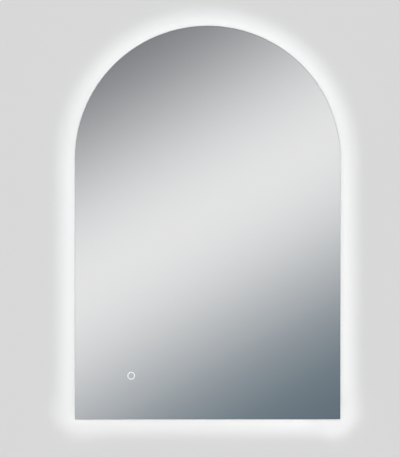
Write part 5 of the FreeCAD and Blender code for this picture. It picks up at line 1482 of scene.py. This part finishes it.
@dataclass
class ConnectionBox(SubAssembly):
    """The box with its hinged lid, terminals and cable gland."""

    ribs: int = 18
    rib: float = 0.55 * MM
    nose: float = 5 * MM
    lip: float = 1.3 * MM
    mouth: float = 4.5 * MM
    socket: float = 8.25 * MM
    rib_draft: float = 0.12 * MM
    nose_turn: float = math.radians(78)
    nose_steps: int = 5
    box: Finish = Moulding("grey_box", (0.60, 0.615, 0.62), 0.46, 0.5 * MM, 0.02 * MM, 0.6 * MM)
    lid_corner: float = 3.05 * MM
    lid_rounding: float = 0.7 * MM
    screw_head: float = 1.8 * MM
    field_margin: float = 5 * MM
    field_drop: float = 10 * MM
    field_rise: float = 5 * MM
    field_depth: float = 0.4 * MM
    field_corner: float = 3 * MM
    gland_rounding: float = 0.3 * MM

    def finishes(self) -> dict[str, Finish]:
        """Box, terminals and seal.

        Returns:
            The finish of each node.
        """
        return {
            "connection_box": self.box, "box_mount_screws": SCREW, "lid_screw": SCREW,
            "hinge_pin": SCREW, "terminal_block": WHITE_NYLON, "terminal_screws": BRASS,
            "gland_seal": RUBBER,
        }

    def lid(self) -> Object:
        """The lid: rounded edges and a sunk field between the hinge and the screw.

        Returns:
            The lid.
        """
        low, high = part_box("box_lid")
        screw_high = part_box("lid_screw")[1]
        pin_low, pin_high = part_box("hinge_pin")
        face = screw_high.y - self.screw_head
        bottom = screw_high.z + self.field_rise
        top = (pin_low.z + pin_high.z) / 2 - self.field_drop
        field = rounded_block((low.x + self.field_margin, face - self.field_depth, bottom),
                              (high.x - self.field_margin, face + MM, top), self.field_corner)
        lid = carve(copy_of_node("box_lid"), [field])

        def on_rim(edge: Any) -> bool:
            """An edge of the outer face, along its sides, its corners or its bottom.

            Args:
                edge: The edge.

            Returns:
                Whether it is.
            """
            return all(
                abs(v.co.y - face) < ON_FACE
                and (min(v.co.x - low.x, high.x - v.co.x, v.co.z - low.z) < self.lid_corner)
                for v in edge.verts
            )

        pick(lid, edges=on_rim)
        bpy.ops.mesh.bevel(offset=self.lid_rounding, segments=4, affect="EDGES")
        return close(lid)

    def dome_nut(self) -> Object:
        """The gland's dome nut: a ribbed grip, a rounded nose and the opening for the cable.

        Returns:
            The nut.
        """
        low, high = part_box("gland_dome_nut")
        y, z = (low.y + high.y) / 2, (low.z + high.z) / 2
        flats = (high.y - low.y) / 2
        grip = high.x - low.x - self.nose
        nut = solid_rod((low.x + grip / 2, y, z), Axis.ALONG_X, flats - self.rib, grip, 2 * self.ribs)

        def ribbed(face: Any) -> bool:
            """Every other face round the side.

            Args:
                face: The face.

            Returns:
                Whether it is one of them.
            """
            middle = face.calc_center_median()
            turn = math.atan2(middle.z - z, middle.y - y) / math.pi * self.ribs
            return abs(face.normal.x) < 0.5 and round(turn - 0.5) % 2 == 0

        pick(nut, faces=ribbed)
        bpy.ops.mesh.inset(thickness=self.rib_draft, use_individual=True)
        bpy.ops.mesh.extrude_region_shrink_fatten(
            TRANSFORM_OT_shrink_fatten={"value": self.rib})
        leave_edit_mode()
        pick(nut, faces=lambda face: face.normal.x > 0.9)
        rim = self.mouth + self.lip
        previous_turn, previous_radius = 0.0, flats - self.rib
        for step in range(1, self.nose_steps + 1):
            turn = step / self.nose_steps * self.nose_turn
            radius = rim + (flats - self.rib - rim) * math.cos(turn)
            out = self.nose * (math.sin(turn) - math.sin(previous_turn)) / math.sin(self.nose_turn)
            share = radius / previous_radius
            bpy.ops.mesh.extrude_region_move(TRANSFORM_OT_translate={"value": (out, 0, 0)})
            bpy.ops.transform.resize(value=(1, share, share), center_override=(high.x, y, z))
            previous_turn, previous_radius = turn, radius
        leave_edit_mode()
        seal_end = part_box("gland_seal")[1].x
        socket = solid_rod(((low.x + seal_end) / 2 - MM, y, z), Axis.ALONG_X, self.socket,
                           seal_end - low.x + 2 * MM)
        mouth = solid_rod((high.x, y, z), Axis.ALONG_X, self.mouth, 4 * (high.x - seal_end))
        return close(carve(nut, [socket, mouth]), 30)

    def build(self) -> list[Object]:
        """Builds the lid and the gland's body and nuts.

        Returns:
            The pieces.
        """
        body = round_edges(copy_of_node("gland_body"), self.gland_rounding)
        locknut = round_edges(copy_of_node("gland_locknut"), self.gland_rounding, clamped=True)
        return [
            finish_piece(self.lid(), "hinged_lid", Body.LID, self.box, ["box_lid"]),
            finish_piece(body, "gland_stem", Body.MIRROR, BLACK_NYLON, ["gland_body"]),
            finish_piece(locknut, "gland_inner_nut", Body.MIRROR, BLACK_NYLON,
                         ["gland_locknut"]),
            finish_piece(self.dome_nut(), "ribbed_dome_nut", Body.MIRROR, BLACK_NYLON,
                         ["gland_dome_nut"]),
        ]


@dataclass
class TouchSwitch(SubAssembly):
    """The touch switch behind the etched ring."""

    lamp_strength: float = 2.0
    ring_strength: float = 0.74

    def finishes(self) -> dict[str, Finish]:
        """Case, board, lamps, light ring and electrode.

        Returns:
            The finish of each node.
        """
        return {
            "sensor_case": Moulding("sensor_case", (0.045, 0.045, 0.048), 0.5, 0.4 * MM, 0.02 * MM),
            "sensor_board": CircuitBoard("sensor_board"),
            "sensor_lamps": LampFace("ring_lamps", strength=self.lamp_strength),
            "light_ring": LampFace("light_ring", (1.0, 1.0, 1.0), self.ring_strength, (0.9, 0.9, 0.9)),
            "touch_electrode": Foam("electrode_foam", (0.12, 0.12, 0.125), 0.5 * MM),
        }


@dataclass
class Wiring(SubAssembly):
    """Leads, bushings and clip, with the earth wire and every core in its own colour."""

    core_radius: float = 0.9 * MM
    earth_radius: float = 1.3 * MM
    bushing_rounding: float = 0.25 * MM
    clip_rounding: float = 0.4 * MM

    # Places in millimetres, as at_mm() takes them: x, height over the pane's bottom edge, depth d.
    poles: Place = (100.3, 109.3, 118.3)
    lower_row: float = 109
    upper_row: float = 117
    way_d: float = 26.6
    box_d: float = 20.5
    floor_x: float = 95.3
    mains_x: float = 82.3
    mains_top: float = 104
    mains_bend: float = 100.5
    heater_top: float = 132
    tape_low: float = 103
    core_step: float = 2

    def finishes(self) -> dict[str, Finish]:
        """The leads' sheaths and the earth point.

        Returns:
            The finish of each node.
        """
        return {
            "sensor_lead": DARK_SHEATH, "light_lead": DARK_SHEATH, "mains_lead": WHITE_SHEATH,
            "earth_tag": SmallMetal("tinned_tag", (0.70, 0.70, 0.68), 0.3),
            "earth_screw": SCREW, "earth_nut": BRASS,
        }

    def earth_route(self) -> list[Place]:
        """From the first terminal, out through the box's floor and down to the tag.

        Returns:
            Its route.
        """
        pole, x = self.poles[0], self.floor_x
        return [
            at_mm(pole, self.lower_row, 24), at_mm(pole, 97, 24), at_mm(x, 91, self.box_d),
            at_mm(x, 71, self.box_d), at_mm(90.3, 56.5, 11.4), at_mm(79.3, 51.5, 7.4),
            at_mm(68.2, 51.5, 7.4),
        ]

    def mains_core_route(self, index: int) -> list[Place]:
        """One core of the mains lead, from where the sheath ends to its terminal.

        Args:
            index: Which core it is, from 0.

        Returns:
            Its route.
        """
        x, pole = self.mains_x, self.poles[index]
        z = self.mains_top - self.core_step * index
        level = self.mains_bend - 2.5 * index
        return [
            at_mm(x, z, self.box_d), at_mm(x + 3, z, self.box_d), at_mm(x + 8, level, self.way_d),
            at_mm(pole, level, self.way_d), at_mm(pole, self.lower_row, self.way_d),
        ]

    def heater_core_route(self, index: int) -> list[Place]:
        """One core of the demister's lead, from where the sheath ends to its terminal.

        Args:
            index: Which core it is, from 0.

        Returns:
            Its route.
        """
        x, z, pole = self.floor_x, self.heater_top, self.poles[index + 1]
        d = self.box_d + 1 - self.core_step * index
        return [
            at_mm(x, z, d), at_mm(x, z - 2, d), at_mm(pole, z - 6, self.way_d),
            at_mm(pole, self.upper_row, self.way_d),
        ]

    def tape_core_route(self, index: int) -> list[Place]:
        """One core of the light lead, from inside the channel to the tape.

        Args:
            index: Which core it is, from 0.

        Returns:
            Its route.
        """
        z = self.tape_low + self.core_step * index
        return [
            at_mm(-259.5, z, 28.2), at_mm(-261, z, 28.2), at_mm(-263, z, 25.7),
            at_mm(-257.2, z, 23.1),
        ]

    def build(self) -> list[Object]:
        """Builds the earth wire, the seven cores, and the bushings and the clip with their rounding.

        Returns:
            The pieces.
        """
        bushings = round_edges(copy_of_node("lead_bushings"), self.bushing_rounding)
        clip = round_edges(copy_of_node("lead_clip"), self.clip_rounding, clamped=True)
        made = [
            finish_piece(wire(self.earth_route(), self.earth_radius, 4), "earth_wire", Body.MIRROR,
                         EARTH_WIRE, ["earth_lead"]),
            finish_piece(bushings, "rubber_bushings", Body.MIRROR, RUBBER, ["lead_bushings"]),
            finish_piece(clip, "wire_clip", Body.MIRROR, WHITE_NYLON, ["lead_clip"]),
        ]
        cores: list[tuple[str, Callable[[int], list[Place]], int, Finish]] = [
            ("mains_core_earth", self.mains_core_route, 0, EARTH_WIRE),
            ("mains_core_blue", self.mains_core_route, 1, BLUE_CORE),
            ("mains_core_brown", self.mains_core_route, 2, BROWN_CORE),
            ("heater_core_blue", self.heater_core_route, 0, BLUE_CORE),
            ("heater_core_brown", self.heater_core_route, 1, BROWN_CORE),
            ("tape_core_red", self.tape_core_route, 0, RED_CORE),
            ("tape_core_black", self.tape_core_route, 1, BLACK_CORE),
        ]
        for name, route, index, finish in cores:
            made.append(finish_piece(wire(route(index), self.core_radius), name, Body.MIRROR,
                                     finish, ["core_wires"]))
        return made


# ---------------------------------------------------------------- studio


def stage_piece(name: str, spots: Sequence[Place], faces: Sequence[Sequence[int]],
                material: bpy.types.Material, unseen_by: Sequence[str],
                body: Body | None = None) -> Object:
    """A piece of the studio, which isn't part of the object.

    Args:
        name: Its name.
        spots: Its points.
        faces: Its faces, as numbers of points.
        material: Its material.
        unseen_by: The kinds of ray that pass it by.
        body: The body that it rides on, if it moves.

    Returns:
        The piece.
    """
    mesh = bpy.data.meshes.new(name)
    mesh.from_pydata(spots, [], faces)
    mesh.materials.append(material)
    piece = bpy.data.objects.new(name, mesh)
    bpy.context.scene.collection.objects.link(piece)
    for ray in unseen_by:
        setattr(piece, f"visible_{ray}", False)
    if body:
        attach(piece, body.value)
    return piece


@dataclass(frozen=True)
class SoftLight:
    """A round soft light that shines at the part's origin; its size in metres, its power in watts."""

    name: str
    spot: Place
    size: float
    power: float

    def build(self) -> None:
        """Makes the light and turns it to the part."""
        lamp = bpy.data.lights.new(self.name, "AREA")
        lamp.shape = "DISK"
        lamp.size = self.size
        lamp.energy = self.power
        light = bpy.data.objects.new(self.name, lamp)
        light.location = self.spot
        light.rotation_mode = "QUATERNION"
        light.rotation_quaternion = (-Vector(self.spot)).to_track_quat("-Z", "Y")
        bpy.context.scene.collection.objects.link(light)


@dataclass
class Studio:
    """A pale wall and floor, even soft light, and the room that the mirror reflects.

    The reflected room is a soft diagonal swing of light, so the pane shows light in every view. Two soft
    lights shape the back of the mirror where it is seen from behind.
    """

    wall_level: float = 0.686
    wall_albedo: float = 0.80
    floor_albedo: float = 0.71
    rear_level: float = 0.36
    floor_drop: float = 1.0
    reach: float = 6.0
    floor_full: float = 1.2
    floor_gone: float = 4.5
    cloud: float = 0.9
    cloud_spread: float = 0.004
    slant_across: float = 0.5
    slant_up: float = 0.866
    period: float = 0.531
    swing_centre: float = -0.0091
    swing_power: float = 2.0
    room_light: Colour = (0.832, 0.818, 0.826)
    room_shade: Colour = (0.140, 0.144, 0.164)
    room_dusk: Colour = (0.123, 0.170, 0.206)
    rear_key: SoftLight = SoftLight("rear_key", (-1.5, 1.5, 1.2), 1.9, 64.0)
    rear_fill: SoftLight = SoftLight("rear_fill", (1.9, 1.4, 0.1), 1.2, 12.0)

    def reflected_room(self, graph: Graph, across: Socket, up: Socket) -> Socket:
        """The colour that a mirrored ray meets.

        Args:
            graph: The world's nodes.
            across: How far the ray goes to the right.
            up: How far it goes up.

        Returns:
            The colour, which swings from light through shade and dusk along a slant.
        """
        slant = graph.math("SUBTRACT", graph.math("MULTIPLY", across, self.slant_across),
                           graph.math("MULTIPLY", up, self.slant_up))
        phase = graph.math("MULTIPLY", graph.math("SUBTRACT", slant, self.swing_centre),
                           2 * math.pi / self.period)
        swing = graph.math("MULTIPLY_ADD", graph.math("COSINE", phase), 0.5, 0.5)
        swing = graph.math("POWER", swing, self.swing_power)
        side = graph.math("MULTIPLY_ADD", graph.math("SINE", phase), 0.5, 0.5)
        shade = graph.mix(side, self.room_shade, self.room_dusk)
        return graph.mix(swing, shade, self.room_light)

    def light_world(self) -> None:
        """Even light for surfaces, a plain backdrop, and the reflected room for mirrored rays."""
        world = bpy.data.worlds.new("studio")
        bpy.context.scene.world = world
        world.use_nodes = True
        graph = Graph(world.node_tree)
        direction = graph.node("TexCoord").outputs["Generated"]
        across, into, up = graph.split(direction)
        even = self.wall_level / self.wall_albedo
        behind = graph.math("GREATER_THAN", into, 0.0)
        level = graph.mix(behind, (even,) * 3, (self.rear_level,) * 3)
        path = graph.node("LightPath")
        mirrored = graph.math("MAXIMUM", path.outputs["Is Glossy Ray"],
                              path.outputs["Is Transmission Ray"])
        colour = graph.mix(mirrored, level, self.reflected_room(graph, across, up))
        backdrop = (self.wall_level,) * 3
        colour = graph.mix(path.outputs["Is Camera Ray"], colour, backdrop)
        graph.link(colour, world.node_tree.nodes["Background"].inputs["Color"])

    def sheet(self, name: str, spots: Sequence[Place], albedo: float, fades: bool = False) -> Object:
        """A large flat pale sheet that shows only from its front.

        Args:
            name: Its name.
            spots: Its corners, anticlockwise as seen from the front.
            albedo: How much light it gives back.
            fades: Whether it fades into the backdrop far from its middle.

        Returns:
            The sheet.
        """
        material, graph = new_material(name)
        place = graph.object_place()
        clouds = graph.noise(place, self.cloud, Layers.EVEN)
        tone = graph.shades(clouds, (albedo,) * 3, self.cloud_spread)
        surface = graph.node("BsdfDiffuse", {"Color": tone}).outputs[0]
        hidden = graph.backfacing()
        if fades:
            flat = graph.stretched(place, 1.0, 1.0, 0.0)
            away = graph.node("VectorMath", {0: flat}, operation="LENGTH").outputs["Value"]
            gone = graph.remap(away, self.floor_full, self.floor_gone, 0.0, 1.0)
            hidden = graph.math("MAXIMUM", hidden, gone)
        graph.surface(graph.blend(hidden, surface, graph.clear()))
        return stage_piece(name, spots, [(0, 1, 2, 3)], material,
                           ("diffuse", "glossy", "transmission", "shadow"))

    def build_room(self) -> None:
        """The wall that the mirror hangs on and the floor under it."""
        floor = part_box("mirror_glass")[0].z - self.floor_drop
        r = self.reach
        self.sheet("studio_wall", [(-r, 0, floor), (r, 0, floor), (r, 0, r), (-r, 0, r)],
                   self.wall_albedo)
        self.sheet("studio_floor", [(-r, -r, floor), (r, -r, floor), (r, r, floor), (-r, r, floor)],
                   self.floor_albedo, fades=True)

    def build(self) -> None:
        """Builds the whole studio."""
        bpy.context.scene.view_settings.view_transform = "Standard"
        self.light_world()
        self.build_room()
        self.rear_key.build()
        self.rear_fill.build()
        LOG.info("studio ready")


@dataclass
class Halo:
    """The frame's light on the wall: a ring just outside the opal strips that shines outwards.

    Its light swells and dies away over a short reach, as the photograph's does. A quarter round in each
    bottom corner carries the light round the corner, and gains even the ring out along its way.
    """

    inset: float = 27.8 * MM
    near_wall: float = 6 * MM
    off_wall: float = 32 * MM
    arch_steps: int = 96
    leg_steps: int = 24
    crown_gain: float = 1.10
    sill_gain: float = 1.10
    right_gain: float = 1.14
    right_from: float = -0.2
    right_full: float = 0.9
    post_inset: float = 22 * MM
    post_radius: float = 5 * MM
    post_steps: int = 8
    post_gain: float = 6.5
    reach: float = 320 * MM
    full: float = 6.0
    strengths: tuple[tuple[float, float], ...] = (
        (0, 0.1), (20, 0.2), (32, 1.1), (44, 2.85), (56, 5.1), (70, 5.5), (86, 2.95), (105, 1.43),
        (130, 1.2), (320, 1.25),
    )

    def outline(self) -> list[tuple[float, float]]:
        """The strips' outline as x and z, from the sill's left end round by the right.

        Returns:
            Its points.
        """
        low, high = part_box("mirror_glass")
        half = (high.x - low.x) / 2
        spring = high.z - half
        r = half - self.inset
        bottom = low.z + self.inset
        rows = self.leg_steps
        points = [(-r + 2 * r * i / rows, bottom) for i in range(rows)]
        points += [(r, bottom + (spring - bottom) * i / rows) for i in range(rows)]
        for i in range(self.arch_steps):
            angle = math.pi * i / self.arch_steps
            points.append((r * math.cos(angle), spring + r * math.sin(angle)))
        points += [(-r, spring + (bottom - spring) * i / rows) for i in range(rows)]
        return points

    def post(self, side: int) -> list[tuple[float, float]]:
        """A quarter round in the bottom corner, for the light that turns the corner.

        Args:
            side: -1 for the left corner and 1 for the right one.

        Returns:
            Its points as x and z, in the outline's direction.
        """
        low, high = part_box("mirror_glass")
        x = side * ((high.x - low.x) / 2 - self.post_inset)
        z = low.z + self.post_inset
        start = -math.pi / 2 if side > 0 else -math.pi
        turns = [start + math.pi / 2 * i / self.post_steps for i in range(self.post_steps + 1)]
        return [(x + self.post_radius * math.cos(t), z + self.post_radius * math.sin(t)) for t in turns]

    def curve(self, graph: Graph, share: Socket) -> Socket:
        """The strength, as a share of its full value, at that share of the reach.

        Args:
            graph: The halo's nodes.
            share: The share of the reach.

        Returns:
            The strength.
        """
        node = graph.node("FloatCurve", {"Value": share})
        points = node.mapping.curves[0].points
        while len(points) < len(self.strengths):
            points.new(0.5, 0.5)
        for point, (length, strength) in zip(points, self.strengths):
            point.location = (length * MM / self.reach, strength / self.full)
        node.mapping.update()
        return node.outputs[0]

    def gains(self, graph: Graph) -> list[Socket]:
        """What the light is multiplied by at the crown, the sill, the right side and the corner posts.

        Args:
            graph: The halo's nodes.

        Returns:
            The four gains.
        """
        across, _, height = graph.split(graph.object_place())
        low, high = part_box("mirror_glass")
        half = (high.x - low.x) / 2
        crown = graph.remap(height, high.z - half, high.z, 1.0, self.crown_gain)
        sill = graph.remap(height, low.z + self.inset, low.z + 2 * self.inset, self.sill_gain, 1.0)
        right = graph.remap(across, self.right_from * half, self.right_full * half, 1.0,
                            self.right_gain)
        outer = graph.math("GREATER_THAN", graph.math("ABSOLUTE", across), half - self.inset + MM)
        on_post = graph.math("MULTIPLY", outer, graph.math("LESS_THAN", height, low.z + self.inset))
        return [crown, sill, right, graph.math("MULTIPLY_ADD", on_post, self.post_gain - 1.0, 1.0)]

    def build(self) -> None:
        """Builds the ring with its posts and lets it ride with the mirror."""
        material, graph = new_material("halo")
        length = graph.node("LightPath").outputs["Ray Length"]
        fade = self.curve(graph, graph.math("DIVIDE", length, self.reach))
        for gain in self.gains(graph):
            fade = graph.math("MULTIPLY", fade, gain)
        front = graph.math("SUBTRACT", 1.0, graph.backfacing())
        power = graph.math("MULTIPLY", graph.math("MULTIPLY", fade, front), self.full)
        graph.surface(graph.node("Emission", {"Strength": power}).outputs[0])
        ring_line = self.outline()
        spots: list[Place] = []
        faces: list[tuple[int, int, int, int]] = []
        for line in (ring_line + ring_line[:1], self.post(-1), self.post(1)):
            first = len(spots)
            spots += [(x, -d, z) for x, z in line for d in (self.near_wall, self.off_wall)]
            faces += [(i, i + 2, i + 3, i + 1) for i in range(first, len(spots) - 2, 2)]
        stage_piece("halo", spots, faces, material,
                    ("camera", "glossy", "transmission", "volume_scatter", "shadow"), Body.MIRROR)
        LOG.info("halo ready")


@dataclass
class PhotoCamera:
    """A camera square to the mirror that frames the pane as the photograph does."""

    distance: float = 2.6
    sensor: float = 36.0

    def build(self) -> None:
        """Makes the camera and puts it in front of the pane."""
        low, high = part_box("mirror_glass")
        per_px = (high.x - low.x) / (PANE_RIGHT_PX - PANE_LEFT_PX)
        off_x = (PANE_LEFT_PX + PANE_RIGHT_PX - PHOTO_WIDTH_PX) / 2 * per_px
        off_z = (PHOTO_HEIGHT_PX - PANE_TOP_PX - PANE_BOTTOM_PX) / 2 * per_px
        data = bpy.data.cameras.new("photo_camera")
        data.sensor_width = self.sensor
        data.lens = self.sensor * self.distance / (PHOTO_HEIGHT_PX * per_px)
        camera = bpy.data.objects.new("photo_camera", data)
        camera.location = ((low.x + high.x) / 2 - off_x, low.y - self.distance,
                           (low.z + high.z) / 2 - off_z)
        camera.rotation_euler = (math.pi / 2, 0.0, 0.0)
        bpy.context.scene.collection.objects.link(camera)
        bpy.context.scene.camera = camera
        LOG.info("camera ready")


def main() -> None:
    logging.basicConfig(level=logging.INFO, format="%(name)s: %(message)s")
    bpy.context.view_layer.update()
    PhotoCamera().build()
    assemblies: list[SubAssembly] = [
        Wiring(), Pane(), LitFrame(), Hanging(), Demister(), PowerSupply(), ConnectionBox(),
        TouchSwitch(),
    ]
    for assembly in assemblies:
        assembly.make()
    Studio().build()
    Halo().build()


if __name__ == "__main__":
    main()
